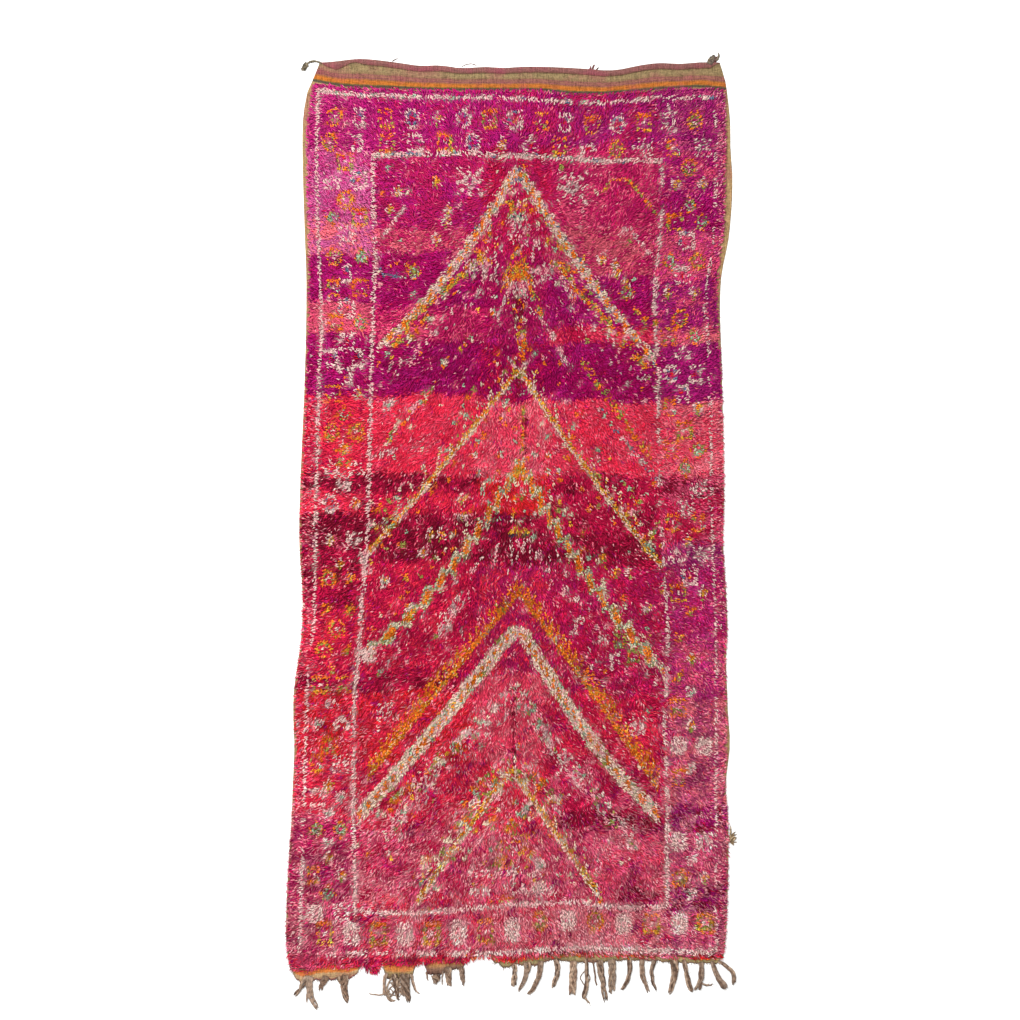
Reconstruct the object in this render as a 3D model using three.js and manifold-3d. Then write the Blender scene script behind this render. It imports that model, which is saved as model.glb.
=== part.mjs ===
// An old hand-knotted shag rug, lying flat on the floor.
// Millimetres, +Z up. The origin is on the floor under the middle of the rug, and +Y points
// to the flat-woven end, which has a turned hem and a cord tail at each corner.
// Long wool locks lie flat over the rest: downward along the middle, outward along both sides.
// The other end has worn down to short woven strips, each with its own felted warp locks.
// Tables give a place across the rug (x) or along it (y). All edges are as uneven as the rug's.

import * as THREE from 'three';
import { mergeVertices } from 'three/addons/utils/BufferGeometryUtils.js';
import Module from 'manifold-3d';

const wasm = await Module();
wasm.setup();

// Clear space between neighbouring pieces, and how flat a stretch is before it is merged
const gap = 0.3;
const flatness = 0.01;

// The woven ground, and the hem that is turned over along its flat-woven end
const cloth = { thickness: 3, edgePitch: 45 };
const hem = { depth: 29, rise: 2.6, sink: 1, inset: 1.5, leftEnd: -735, rightEnd: 905 };

// The shag: a lumpy slab over the ground, with locks standing out of its rim
const pile = {
  floor: cloth.thickness + gap, rimHeight: 7.5, height: 13.5, lump: 3, inset: 18,
  crownWidth: 70, columns: 24, rows: 50,
};
const rimLock = { pitch: 46, buried: 36, width: 30, end: 7, lean: 9, spread: 5, steps: 2 };

// Locks of the worn end. They lie level on the floor, low where they leave the weave.
const fringeLock = { rootHeight: 2.6, bodyHeight: 2.5, heightForWidth: 0.3, endShare: 0.6, steps: 4 };

// Both long edges of the ground, and how much of each bare selvedge shows beside the shag
const sides = [
  { along: -2077, left: -1032, right: 953, bareLeft: 0, bareRight: 0 },
  { along: -1994, left: -1046, right: 970, bareLeft: 0, bareRight: 0 },
  { along: -1764, left: -1046, right: 983, bareLeft: 0, bareRight: 0 },
  { along: -1511, left: -1032, right: 988, bareLeft: 0, bareRight: 0 },
  { along: -1377, left: -1023, right: 986, bareLeft: 2, bareRight: 0 },
  { along: -1234, left: -1018, right: 974, bareLeft: 5, bareRight: 2 },
  { along: -1128, left: -1013, right: 986, bareLeft: 5, bareRight: 7 },
  { along: -1050, left: -1011, right: 995, bareLeft: 5, bareRight: 18 },
  { along: -917, left: -1016, right: 986, bareLeft: 5, bareRight: 5 },
  { along: -797, left: -1013, right: 981, bareLeft: 5, bareRight: 5 },
  { along: -659, left: -993, right: 976, bareLeft: 2, bareRight: 2 },
  { along: -520, left: -976, right: 983, bareLeft: 0, bareRight: 0 },
  { along: -336, left: -974, right: 976, bareLeft: 0, bareRight: 0 },
  { along: -129, left: -988, right: 963, bareLeft: 2, bareRight: 0 },
  { along: 78, left: -986, right: 967, bareLeft: 5, bareRight: 0 },
  { along: 649, left: -963, right: 958, bareLeft: 5, bareRight: 0 },
  { along: 1092, left: -956, right: 953, bareLeft: 9, bareRight: 9 },
  { along: 1294, left: -963, right: 990, bareLeft: 14, bareRight: 21 },
  { along: 1571, left: -972, right: 1006, bareLeft: 14, bareRight: 28 },
  { along: 1690, left: -974, right: 997, bareLeft: 14, bareRight: 14 },
  { along: 1829, left: -972, right: 995, bareLeft: 18, bareRight: 12 },
  { along: 1902, left: -963, right: 988, bareLeft: 23, bareRight: 12 },
  { along: 1958, left: -951, right: 981, bareLeft: 18, bareRight: 9 },
  { along: 2004, left: -930, right: 974, bareLeft: 5, bareRight: 0 },
  { along: 2093, left: -894, right: 947, bareLeft: 0, bareRight: 0 },
];

// Fold of the hem at the flat-woven end
const topEdge = [
  { across: -894, along: 2093 },
  { across: -824, along: 2098 },
  { across: -755, along: 2107 },
  { across: -700, along: 2110 },
  { across: -525, along: 2091 },
  { across: -433, along: 2078 },
  { across: -341, along: 2080 },
  { across: -249, along: 2068 },
  { across: -111, along: 2073 },
  { across: -64, along: 2068 },
  { across: 51, along: 2074 },
  { across: 350, along: 2063 },
  { across: 419, along: 2057 },
  { across: 488, along: 2061 },
  { across: 580, along: 2080 },
  { across: 672, along: 2091 },
  { across: 765, along: 2087 },
  { across: 857, along: 2094 },
  { across: 947, along: 2093 },
];

// Line where the flat weave ends and the shag begins
const shagStart = [
  { across: -930, along: 2004 },
  { across: -801, along: 1981 },
  { across: -709, along: 1974 },
  { across: -341, along: 1962 },
  { across: 120, along: 1962 },
  { across: 258, along: 1946 },
  { across: 396, along: 1944 },
  { across: 719, along: 1969 },
  { across: 857, along: 1976 },
  { across: 976, along: 1962 },
];

// Torn end of the ground, where the worn strips have parted from it
const bottomEdge = [
  { across: -1032, along: -2077 },
  { across: -940, along: -2089 },
  { across: -894, along: -2068 },
  { across: -746, along: -2068 },
  { across: -608, along: -2054 },
  { across: -451, along: -2054 },
  { across: -341, along: -2040 },
  { across: -221, along: -2045 },
  { across: -157, along: -2020 },
  { across: -106, along: -2020 },
  { across: -51, along: -2040 },
  { across: 74, along: -2027 },
  { across: 212, along: -2013 },
  { across: 626, along: -2022 },
  { across: 857, along: -2027 },
  { across: 953, along: -2034 },
];

// Corner flap of the hem: its lower edge runs slantwise up to the fold
const hemFlap = [
  { across: -884, along: 2090 },
  { across: -866, along: 2077 },
  { across: -815, along: 2057 },
];

// Stretch without a woven strip, where locks of the shag hang down to the floor
const hangingShag = { from: -706, to: -612, along: -2140, tipFloor: 0.8 };

// Worn strips along the torn end. Each has a ragged lower edge, and locks from root to tip.
const strips = {
  fringe_left: {
    color: 0x94785a,
    lowerEdge: [
      { across: -1027, along: -2091 },
      { across: -1000, along: -2130 },
      { across: -970, along: -2150 },
      { across: -949, along: -2133 },
      { across: -811, along: -2133 },
      { across: -755, along: -2128 },
      { across: -702, along: -2084 },
    ],
    locks: [
      { root: [-950, -2115], bend: [-972, -2160], tip: [-1009, -2206], width: 24, end: 14 },
      { root: [-938, -2115], bend: [-956, -2183], tip: [-905, -2262], width: 30, end: 16 },
      { root: [-946, -2172], bend: [-954, -2206], tip: [-956, -2241], width: 8, end: 5 },
      { root: [-866, -2115], bend: [-875, -2146], tip: [-894, -2176], width: 28, end: 14 },
      { root: [-811, -2118], bend: [-801, -2137], tip: [-795, -2156], width: 16, end: 6 },
      { root: [-776, -2110], bend: [-788, -2169], tip: [-769, -2234], width: 30, end: 18 },
    ],
  },
  fringe_tangle: {
    color: 0x7d6654,
    lowerEdge: [
      { across: -603, along: -2114 },
      { across: -562, along: -2130 },
      { across: -488, along: -2130 },
      { across: -451, along: -2110 },
    ],
    locks: [
      { root: [-585, -2100], bend: [-606, -2151], tip: [-594, -2206], width: 14, end: 9 },
      { root: [-592, -2183], bend: [-580, -2243], tip: [-546, -2222], width: 8, end: 7 },
      { root: [-550, -2105], bend: [-544, -2151], tip: [-533, -2225], width: 26, end: 9 },
      { root: [-503, -2105], bend: [-503, -2169], tip: [-479, -2234], width: 40, end: 13 },
      { root: [-472, -2105], bend: [-466, -2165], tip: [-440, -2195], width: 14, end: 6 },
      { root: [-592, -2192], bend: [-626, -2211], tip: [-668, -2192], width: 6, end: 4 },
    ],
  },
  fringe_stubs: {
    color: 0x8c7258,
    lowerEdge: [
      { across: -415, along: -2084 },
      { across: -396, along: -2117 },
      { across: -359, along: -2131 },
      { across: -327, along: -2110 },
      { across: -272, along: -2080 },
      { across: -223, along: -2091 },
    ],
    locks: [
      { root: [-403, -2096], bend: [-400, -2119], tip: [-394, -2142], width: 7, end: 4 },
      { root: [-359, -2110], bend: [-357, -2133], tip: [-362, -2151], width: 36, end: 12 },
      { root: [-302, -2075], bend: [-305, -2119], tip: [-295, -2158], width: 30, end: 14 },
      { root: [-326, -2090], bend: [-330, -2123], tip: [-332, -2151], width: 6, end: 4 },
      { root: [-242, -2076], bend: [-235, -2119], tip: [-233, -2156], width: 24, end: 10 },
    ],
  },
  fringe_right: {
    color: 0x8e7660,
    lowerEdge: [
      { across: -104, along: -2057 },
      { across: -69, along: -2059 },
      { across: -51, along: -2087 },
      { across: 18, along: -2066 },
      { across: 97, along: -2073 },
      { across: 157, along: -2047 },
      { across: 216, along: -2046 },
      { across: 281, along: -2059 },
      { across: 415, along: -2059 },
      { across: 516, along: -2044 },
      { across: 682, along: -2054 },
      { across: 857, along: -2063 },
      { across: 951, along: -2063 },
    ],
    locks: [
      { root: [2, -2055], bend: [9, -2110], tip: [-5, -2158], width: 18, end: 22 },
      { root: [62, -2050], bend: [69, -2105], tip: [21, -2186], width: 30, end: 8 },
      { root: [124, -2045], bend: [122, -2133], tip: [71, -2197], width: 24, end: 14 },
      { root: [193, -2036], bend: [216, -2105], tip: [175, -2163], width: 22, end: 15 },
      { root: [272, -2045], bend: [279, -2123], tip: [265, -2197], width: 28, end: 27 },
      { root: [333, -2036], bend: [342, -2133], tip: [322, -2215], width: 14, end: 19 },
      { root: [322, -2206], bend: [332, -2225], tip: [348, -2236], width: 9, end: 6 },
      { root: [394, -2040], bend: [402, -2110], tip: [424, -2229], width: 28, end: 16 },
      { root: [364, -2040], bend: [372, -2110], tip: [382, -2160], width: 6, end: 5 },
      { root: [451, -2036], bend: [456, -2110], tip: [447, -2190], width: 30, end: 24 },
      { root: [530, -2031], bend: [548, -2142], tip: [486, -2176], width: 20, end: 12 },
      { root: [590, -2036], bend: [585, -2110], tip: [617, -2188], width: 22, end: 15 },
      { root: [649, -2040], bend: [617, -2110], tip: [656, -2179], width: 19, end: 9 },
      { root: [735, -2040], bend: [753, -2110], tip: [714, -2195], width: 32, end: 14 },
      { root: [783, -2040], bend: [797, -2110], tip: [813, -2186], width: 17, end: 20 },
      { root: [861, -2050], bend: [875, -2123], tip: [841, -2181], width: 20, end: 22 },
      { root: [858, -2142], bend: [894, -2168], tip: [914, -2149], width: 9, end: 6 },
      { root: [912, -2045], bend: [926, -2105], tip: [974, -2172], width: 15, end: 26 },
      { root: [940, -2045], bend: [1030, -2087], tip: [1009, -2150], width: 15, end: 16 },
    ],
  },
};

// Loose yarn against the edge of the ground, cut back from it on one side
const looseYarn = {
  corner_tail_left: {
    color: 0x857864,
    clear: [0, gap],
    strands: [
      { root: [-884, 2088], bend: [-924, 2112], tip: [-960, 2080], width: 9, end: 9 },
      { root: [-952, 2086], bend: [-963, 2078], tip: [-966, 2058], width: 22, end: 13 },
      { root: [-962, 2070], bend: [-972, 2062], tip: [-983, 2064], width: 8, end: 4 },
    ],
  },
  corner_tail_right: {
    color: 0x74665a,
    clear: [0, gap],
    strands: [
      { root: [900, 2086], bend: [906, 2108], tip: [924, 2116], width: 26, end: 20 },
      { root: [912, 2104], bend: [926, 2114], tip: [941, 2110], width: 22, end: 12 },
      { root: [934, 2106], bend: [946, 2120], tip: [941, 2136], width: 10, end: 5 },
    ],
  },
  side_tuft: {
    color: 0x8a7f4a,
    clear: [gap, 0],
    strands: [
      { root: [980, -1484], bend: [1004, -1482], tip: [1027, -1479], width: 30, end: 8 },
      { root: [992, -1478], bend: [1004, -1466], tip: [1019, -1453], width: 14, end: 5 },
      { root: [994, -1476], bend: [1000, -1450], tip: [998, -1428], width: 10, end: 4 },
      { root: [994, -1488], bend: [1006, -1500], tip: [1014, -1512], width: 14, end: 5 },
    ],
  },
};

// A smooth curve through one column of a table, read at any place in its first column
function curveOf(table, place, value) {
  const rows = [...table].sort((a, b) => a[place] - b[place]);
  const places = rows.map((row) => row[place]);
  const values = rows.map((row) => row[value]);
  const curve = new THREE.CubicInterpolant(places, values, 1, new Float32Array(1));
  return (at) => curve.evaluate(THREE.MathUtils.clamp(at, places[0], places.at(-1)))[0];
}

const leftAt = curveOf(sides, 'along', 'left');
const rightAt = curveOf(sides, 'along', 'right');
const bareLeftAt = curveOf(sides, 'along', 'bareLeft');
const bareRightAt = curveOf(sides, 'along', 'bareRight');
const topAt = curveOf(topEdge, 'across', 'along');
const shagStartAt = curveOf(shagStart, 'across', 'along');
const bottomAt = curveOf(bottomEdge, 'across', 'along');

// Even steps from one place to another, both ends included
function stepsBetween(from, to, pitch) {
  const count = Math.max(1, Math.round(Math.abs(to - from) / pitch));
  return Array.from({ length: count + 1 }, (_, i) => THREE.MathUtils.lerp(from, to, i / count));
}

function firstAndLast(table) {
  return [table[0], table.at(-1)];
}

function solidOf(geometry) {
  const bare = geometry.clone();
  bare.deleteAttribute('normal');
  bare.deleteAttribute('uv');
  const merged = mergeVertices(bare, 1e-4);
  return new wasm.Manifold(new wasm.Mesh({
    numProp: 3,
    vertProperties: new Float32Array(merged.attributes.position.array),
    triVerts: new Uint32Array(merged.index.array),
  }));
}

// A mesh of the solid, with the triangles of each flat stretch merged
function meshOf(name, solid, color, roughness) {
  const { vertProperties, triVerts } = solid.simplify(flatness).getMesh();
  const geometry = new THREE.BufferGeometry();
  geometry.setAttribute('position', new THREE.BufferAttribute(vertProperties, 3));
  geometry.setIndex(new THREE.BufferAttribute(triVerts, 1));
  geometry.computeVertexNormals();
  const material = new THREE.MeshStandardMaterial({ color, roughness, metalness: 0 });
  const mesh = new THREE.Mesh(geometry, material);
  mesh.name = name;
  return mesh;
}

// Flat piece with the given outline, standing between two heights
function plate(points, floor, top) {
  const shape = new THREE.Shape(points.map(([x, y]) => new THREE.Vector2(x, y)));
  const geometry = new THREE.ExtrudeGeometry(shape, { depth: top - floor, bevelEnabled: false });
  return solidOf(geometry.translate(0, 0, floor));
}

// A lock of yarn: a four-sided strand along its bent path, with a level underside.
// heights gives its rise at the root, along its body and at its tip, and floors where it lies.
function strand({ root, bend, tip, width, end }, heights, floors, steps) {
  const path = new THREE.QuadraticBezierCurve(
    new THREE.Vector2(...root), new THREE.Vector2(...bend), new THREE.Vector2(...tip));
  const section = [[1, 0], [-1, 0], [-0.55, 1], [0.55, 1]];
  const corners = [];
  for (let step = 0; step <= steps; step++) {
    const t = step / steps;
    const centre = path.getPoint(t);
    const tangent = path.getTangent(t);
    const half = THREE.MathUtils.lerp(width, end, t) / 2;
    const height = step === 0 ? heights[0] : THREE.MathUtils.lerp(heights[1], heights[2], t);
    const floor = step === steps ? floors[1] : floors[0];
    for (const [across, up] of section) {
      corners.push(centre.x - tangent.y * half * across);
      corners.push(centre.y + tangent.x * half * across);
      corners.push(floor + height * up);
    }
  }
  const faces = [0, 1, 2, 0, 2, 3];
  for (let ring = 0; ring < steps * 4; ring += 4) {
    for (let side = 0; side < 4; side++) {
      const near = ring + side;
      const next = ring + (side + 1) % 4;
      faces.push(near, near + 4, next, next, near + 4, next + 4);
    }
  }
  const last = steps * 4;
  faces.push(last, last + 2, last + 1, last, last + 3, last + 2);
  const geometry = new THREE.BufferGeometry();
  geometry.setAttribute('position', new THREE.BufferAttribute(new Float32Array(corners), 3));
  geometry.setIndex(faces);
  return solidOf(geometry);
}

// A lock that lies on the floor, flat at its root so that the shag clears it
function floorStrand(row) {
  const body = fringeLock.bodyHeight + row.width * fringeLock.heightForWidth;
  const tip = body * fringeLock.endShare;
  return strand(row, [fringeLock.rootHeight, body, tip], [0, 0], fringeLock.steps);
}

// Outline of the ground, counterclockwise from its lower left corner
function clothOutline() {
  const pitch = cloth.edgePitch;
  const [bottomLeft, bottomRight] = firstAndLast(bottomEdge);
  const [topLeft, topRight] = firstAndLast(topEdge);
  const bottom = stepsBetween(bottomLeft.across, bottomRight.across, pitch);
  const right = stepsBetween(bottomRight.along, topRight.along, pitch);
  const top = stepsBetween(topRight.across, topLeft.across, pitch);
  const left = stepsBetween(topLeft.along, bottomLeft.along, pitch);
  return [
    ...bottom.slice(0, -1).map((x) => [x, bottomAt(x)]),
    ...right.slice(0, -1).map((y) => [rightAt(y), y]),
    ...top.slice(0, -1).map((x) => [x, topAt(x)]),
    ...left.slice(0, -1).map((y) => [leftAt(y), y]),
  ];
}

function groundCloth(outline) {
  const foldLine = stepsBetween(hem.leftEnd, hem.rightEnd, cloth.edgePitch);
  const lower = foldLine.map((x) => [x, topAt(x) - hem.depth]);
  const upper = foldLine.map((x) => [x, topAt(x) - hem.inset]).reverse();
  const flap = hemFlap.map(({ across, along }) => [across, along]);
  lower[0][1] = upper.at(-1)[1] - hem.depth / 2;
  const turned = plate([...flap, ...lower, ...upper],
    cloth.thickness - hem.sink, cloth.thickness + hem.rise);
  return plate(outline, 0, cloth.thickness).add(turned);
}

// Edge of the shag on one side (-1 left, 1 right)
function shagEdgeAt(side, y) {
  return side < 0 ? leftAt(y) + bareLeftAt(y) : rightAt(y) - bareRightAt(y);
}

// The shag's body: a block whose grid is laid into the uneven outline and raised into lumps
function shagSlab() {
  const block = new THREE.BoxGeometry(1, 1, 1, pile.columns, pile.rows, 1);
  block.deleteAttribute('normal');
  block.deleteAttribute('uv');
  const slab = mergeVertices(block, 1e-4);
  const points = slab.attributes.position;
  for (let i = 0; i < points.count; i++) {
    const u = points.getX(i) + 0.5;
    const v = points.getY(i) + 0.5;
    const roughY = THREE.MathUtils.lerp(sides[0].along, sides.at(-1).along, v);
    const roughX = THREE.MathUtils.lerp(shagEdgeAt(-1, roughY), shagEdgeAt(1, roughY), u);
    const low = bottomAt(roughX) + pile.inset;
    const high = shagStartAt(roughX) - gap;
    const y = THREE.MathUtils.lerp(low, high, v);
    const left = shagEdgeAt(-1, y) + pile.inset;
    const right = shagEdgeAt(1, y) - pile.inset;
    const x = THREE.MathUtils.lerp(left, right, u);
    const fromRim = Math.min(x - left, right - x, y - low, high - y);
    const crown = THREE.MathUtils.smoothstep(fromRim, 0, pile.crownWidth);
    const lump = pile.lump * (2 * THREE.MathUtils.seededRandom() - 1) * crown;
    const top = THREE.MathUtils.lerp(pile.rimHeight, pile.height, crown) + lump;
    points.setXYZ(i, x, y, pile.floor + (points.getZ(i) > 0 ? top : 0));
  }
  return solidOf(slab);
}

// Locks along both sides and the torn end. Each lies on the ground and ends just past the edge.
function rimLocks() {
  const { pitch, buried, width, end, lean, spread, steps } = rimLock;
  const heights = [pile.rimHeight - 1, pile.rimHeight - 1, pile.rimHeight / 3];
  const jitter = () => spread * (2 * THREE.MathUtils.seededRandom() - 1);
  const tuftAlong = looseYarn.side_tuft.strands[0].root[1];
  const locks = [];
  for (const side of [-1, 1]) {
    for (const y of stepsBetween(-2000, 1930, pitch)) {
      const nearTuft = side > 0 && Math.abs(y - tuftAlong) < 2 * pitch;
      const edge = shagEdgeAt(side, y);
      const tipX = edge + side * (nearTuft ? -spread : spread + jitter());
      const tipY = y - lean + jitter();
      const row = {
        root: [edge - side * buried, y], bend: [(edge + tipX) / 2 - side * buried / 2, y],
        tip: [tipX, tipY], width, end,
      };
      locks.push(strand(row, heights, [pile.floor, pile.floor], steps));
    }
  }
  for (const x of stepsBetween(bottomEdge[0].across + pitch, bottomEdge.at(-1).across - pitch, pitch)) {
    const hanging = x > hangingShag.from && x < hangingShag.to;
    const edge = bottomAt(x);
    const tipY = hanging ? hangingShag.along + 2 * jitter() : edge - spread + jitter();
    const row = {
      root: [x, edge + buried], bend: [x, (edge + tipY) / 2], tip: [x + jitter(), tipY], width, end,
    };
    const floors = [pile.floor, hanging ? hangingShag.tipFloor : pile.floor];
    locks.push(strand(row, heights, floors, steps));
  }
  return locks;
}

// A worn strip with its locks fused into it, parted from the torn end by the gap
function wornStrip({ lowerEdge, locks }, ground) {
  const inside = firstAndLast(lowerEdge).reverse();
  const outline = [
    ...lowerEdge.map(({ across, along }) => [across, along]),
    ...inside.map(({ across }) => [across, bottomAt(across) + cloth.edgePitch]),
  ];
  const strip = locks.reduce((solid, row) => solid.add(floorStrand(row)), plate(outline, 0, cloth.thickness));
  return strip.subtract(ground.translate([0, -gap, 0]));
}

// Yarn lying against the ground, parted from it by the gap
function looseEnd({ strands, clear }, ground) {
  const joined = strands.map(floorStrand).reduce((solid, next) => solid.add(next));
  return joined.subtract(ground.translate([...clear, 0]));
}

THREE.MathUtils.seededRandom(20);
const rug = new THREE.Group();
const outline = clothOutline();
rug.add(meshOf('ground_cloth', groundCloth(outline), 0xa8805e, 0.95));

const shag = rimLocks().reduce((solid, lock) => solid.add(lock), shagSlab());
rug.add(meshOf('pile', shag, 0xb51a50, 1));

const tallGround = plate(outline, -cloth.thickness, pile.height);
for (const [name, strip] of Object.entries(strips)) {
  rug.add(meshOf(name, wornStrip(strip, tallGround), strip.color, 0.95));
}
for (const [name, yarn] of Object.entries(looseYarn)) {
  rug.add(meshOf(name, looseEnd(yarn, tallGround), yarn.color, 0.95));
}

export default rug;
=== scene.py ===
# An old hand-knotted shag rug lying flat on a pale floor, seen from straight above.
# Metres, +Z up, +Y towards the flat-woven end. Every piece keeps the place of its CAD node.
# Tables are in millimetres: across is x, along is y.

import math
import bpy
import numpy as np
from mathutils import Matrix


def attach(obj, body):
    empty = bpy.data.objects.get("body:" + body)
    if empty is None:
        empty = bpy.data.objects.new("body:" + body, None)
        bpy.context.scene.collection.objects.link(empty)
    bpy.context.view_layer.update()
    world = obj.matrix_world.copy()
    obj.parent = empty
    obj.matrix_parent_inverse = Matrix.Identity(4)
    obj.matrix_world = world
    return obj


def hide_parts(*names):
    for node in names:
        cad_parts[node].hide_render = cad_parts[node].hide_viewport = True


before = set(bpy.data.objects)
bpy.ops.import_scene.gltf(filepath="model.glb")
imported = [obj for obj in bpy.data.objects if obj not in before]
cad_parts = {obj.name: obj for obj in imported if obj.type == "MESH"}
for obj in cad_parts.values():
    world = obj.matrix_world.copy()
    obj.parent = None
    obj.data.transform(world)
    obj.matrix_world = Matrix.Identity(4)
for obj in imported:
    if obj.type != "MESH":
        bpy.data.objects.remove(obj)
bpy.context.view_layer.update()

mm = 0.001
rng = np.random.default_rng(20)
print("frame loaded:", ", ".join(sorted(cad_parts)))

# Camera straight above, on the photograph's frame
view = {"across": -18, "along": 32, "width": 4698, "lens": 85, "sensor": 36, "farEnd": 100}
studio = {
    "floor": "#FBFBFA", "floorRoughness": 0.9, "floorSize": 40, "sky": "#FFFFFF", "skyLight": 0.86,
    "lampSize": 5, "lampPower": 900, "lampPlace": (-3.4, 4.6, 6.5),
}
srgbCurve = {"foot": 0.04045, "slope": 12.92, "lift": 0.055, "power": 2.4}
scene = bpy.context.scene


def linear(hexCode):
    # Turns an sRGB hex colour into linear RGBA
    foot, slope, lift, power = srgbCurve.values()
    parts = [int(hexCode[i:i + 2], 16) / 255 for i in (1, 3, 5)]
    return tuple(c / slope if c <= foot else ((c + lift) / (1 + lift)) ** power for c in parts) + (1,)


def addNode(tree, kind, values=None, links=None, **settings):
    # Adds one node: its socket values, links from other nodes' outputs, and its settings by name
    node = tree.nodes.new("ShaderNode" + kind)
    for name, value in settings.items():
        setattr(node, name, value)
    for socket, value in (values or {}).items():
        node.inputs[socket].default_value = value
    for socket, (source, output) in (links or {}).items():
        tree.links.new(source.outputs[output], node.inputs[socket])
    return node


def newMaterial(name):
    material = bpy.data.materials.new(name)
    material.use_nodes = True
    tree = material.node_tree
    tree.nodes.clear()
    return material, tree


def finishMaterial(tree, values, links=None):
    # Ends a material with its shader and output
    shader = addNode(tree, "BsdfPrincipled", values, links)
    addNode(tree, "OutputMaterial", links={"Surface": (shader, "BSDF")})


def finishWool(tree, colour, height, strength, depth, values):
    # Wool has no gloss of its own: fully rough, with its relief as bump. Colour and height are outputs
    bump = addNode(tree, "Bump", {"Strength": strength, "Distance": depth}, {"Height": height})
    finishMaterial(tree, {"Roughness": 1.0, **values}, {"Base Color": colour, "Normal": (bump, "Normal")})


def shadedDye(tree, strength):
    # The dye stored on the mesh, made lighter or darker by an output
    dye = addNode(tree, "Attribute", attribute_name="dye")
    colour = addNode(tree, "VectorMath", links={0: (dye, "Color"), "Scale": strength}, operation="SCALE")
    return colour, "Vector"


cameraData = bpy.data.cameras.new("camera")
cameraData.lens = view["lens"]
cameraData.sensor_width = view["sensor"]
cameraData.clip_end = view["farEnd"]
camera = bpy.data.objects.new("camera", cameraData)
camera.location = (view["across"] * mm, view["along"] * mm,
                   view["width"] * mm * view["lens"] / view["sensor"])
scene.collection.objects.link(camera)
bpy.context.scene.camera = camera
scene.view_settings.view_transform = "Standard"

world = bpy.data.worlds.new("studio")
world.use_nodes = True
sky = world.node_tree.nodes["Background"].inputs
sky["Color"].default_value = linear(studio["sky"])
sky["Strength"].default_value = studio["skyLight"]
scene.world = world

lampData = bpy.data.lights.new("softbox", "AREA")
lampData.shape = "SQUARE"
lampData.size = studio["lampSize"]
lampData.energy = studio["lampPower"]
lamp = bpy.data.objects.new("softbox", lampData)
lamp.location = studio["lampPlace"]
lampX, lampY, lampZ = studio["lampPlace"]
lamp.rotation_euler = (math.atan2(math.hypot(lampX, lampY), lampZ), 0, math.atan2(lampX, -lampY))
scene.collection.objects.link(lamp)


def meshObject(name, points, faces):
    # Puts whole arrays into a mesh: points is (n, 3), faces is (m, 3) or (m, 4)
    mesh = bpy.data.meshes.new(name)
    points, faces = np.asarray(points, np.float32), np.asarray(faces, np.int32)
    mesh.vertices.add(len(points))
    mesh.vertices.foreach_set("co", points.ravel())
    mesh.loops.add(faces.size)
    mesh.loops.foreach_set("vertex_index", faces.ravel())
    mesh.polygons.add(len(faces))
    starts = np.arange(0, faces.size, faces.shape[1], dtype=np.int32)
    mesh.polygons.foreach_set("loop_start", starts)
    mesh.polygons.foreach_set("use_smooth", np.full(len(faces), True))
    mesh.update(calc_edges=True)
    mesh.validate()
    thing = bpy.data.objects.new(name, mesh)
    scene.collection.objects.link(thing)
    return thing


def setPoints(mesh, name, kind, values):
    # Stores one value or colour for each point
    field = "color" if kind == "FLOAT_COLOR" else "value"
    layer = mesh.attributes.new(name, kind, "POINT")
    layer.data.foreach_set(field, np.asarray(values, np.float32).ravel())


def setDye(mesh, colours, copies=1):
    # Stores a dye for each point, as often as the points come again
    rows = np.column_stack([colours, np.ones(len(colours))])
    setPoints(mesh, "dye", "FLOAT_COLOR", np.tile(rows, (copies, 1)))


def setMap(mesh, name, places):
    # Stores a map whose place is the same at all corners of a point
    corner = np.empty(len(mesh.loops), np.int32)
    mesh.loops.foreach_get("vertex_index", corner)
    layer = mesh.uv_layers.new(name=name)
    layer.data.foreach_set("uv", np.asarray(places, np.float32)[corner].ravel())


def take(piece, slot, *nodes):
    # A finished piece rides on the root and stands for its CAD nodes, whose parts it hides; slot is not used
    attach(piece, "root")
    if nodes:
        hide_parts(*nodes)
    return piece


floorCorners = np.array([[-1, -1, 0], [1, -1, 0], [1, 1, 0], [-1, 1, 0]]) * studio["floorSize"] / 2
floor = meshObject("floor", floorCorners, [[0, 1, 2, 3]])
floorPaint, tree = newMaterial("mattWhiteFloor")
finishMaterial(tree, {"Base Color": linear(studio["floor"]), "Roughness": studio["floorRoughness"]})
floor.data.materials.append(floorPaint)
print("camera, light and floor made")


def groundOutline(node):
    # Lowest corners of the node in order of their angle about the middle, cut at its four corners
    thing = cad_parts[node]
    flat = np.empty(len(thing.data.vertices) * 3)
    thing.data.vertices.foreach_get("co", flat)
    matrix = np.array(thing.matrix_world)
    points = flat.reshape(-1, 3) @ matrix[:3, :3].T + matrix[:3, 3]
    touching = 0.1 * mm
    onFloor = points[points[:, 2] < touching][:, :2]
    rim = np.unique(np.round(onFloor, 6), axis=0)
    rim = rim[np.argsort(np.arctan2(rim[:, 1], rim[:, 0]))]
    corner = [int(np.argmax(rim @ way)) for way in ([-1, -1], [1, -1], [1, 1], [-1, 1])]
    rim = np.roll(rim, -corner[0], axis=0)
    corner = [(c - corner[0]) % len(rim) for c in corner]
    loop = np.vstack([rim, rim[:1]])
    bottom, right = loop[:corner[1] + 1], loop[corner[1]:corner[2] + 1]
    top, left = loop[corner[2]:corner[3] + 1][::-1], loop[corner[3]:][::-1]
    return {"bottom": bottom, "right": right[:, ::-1], "top": top, "left": left[:, ::-1]}


edges = groundOutline("ground_cloth")


def edgeAt(side, place):
    return np.interp(place, edges[side][:, 0], edges[side][:, 1])


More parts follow.
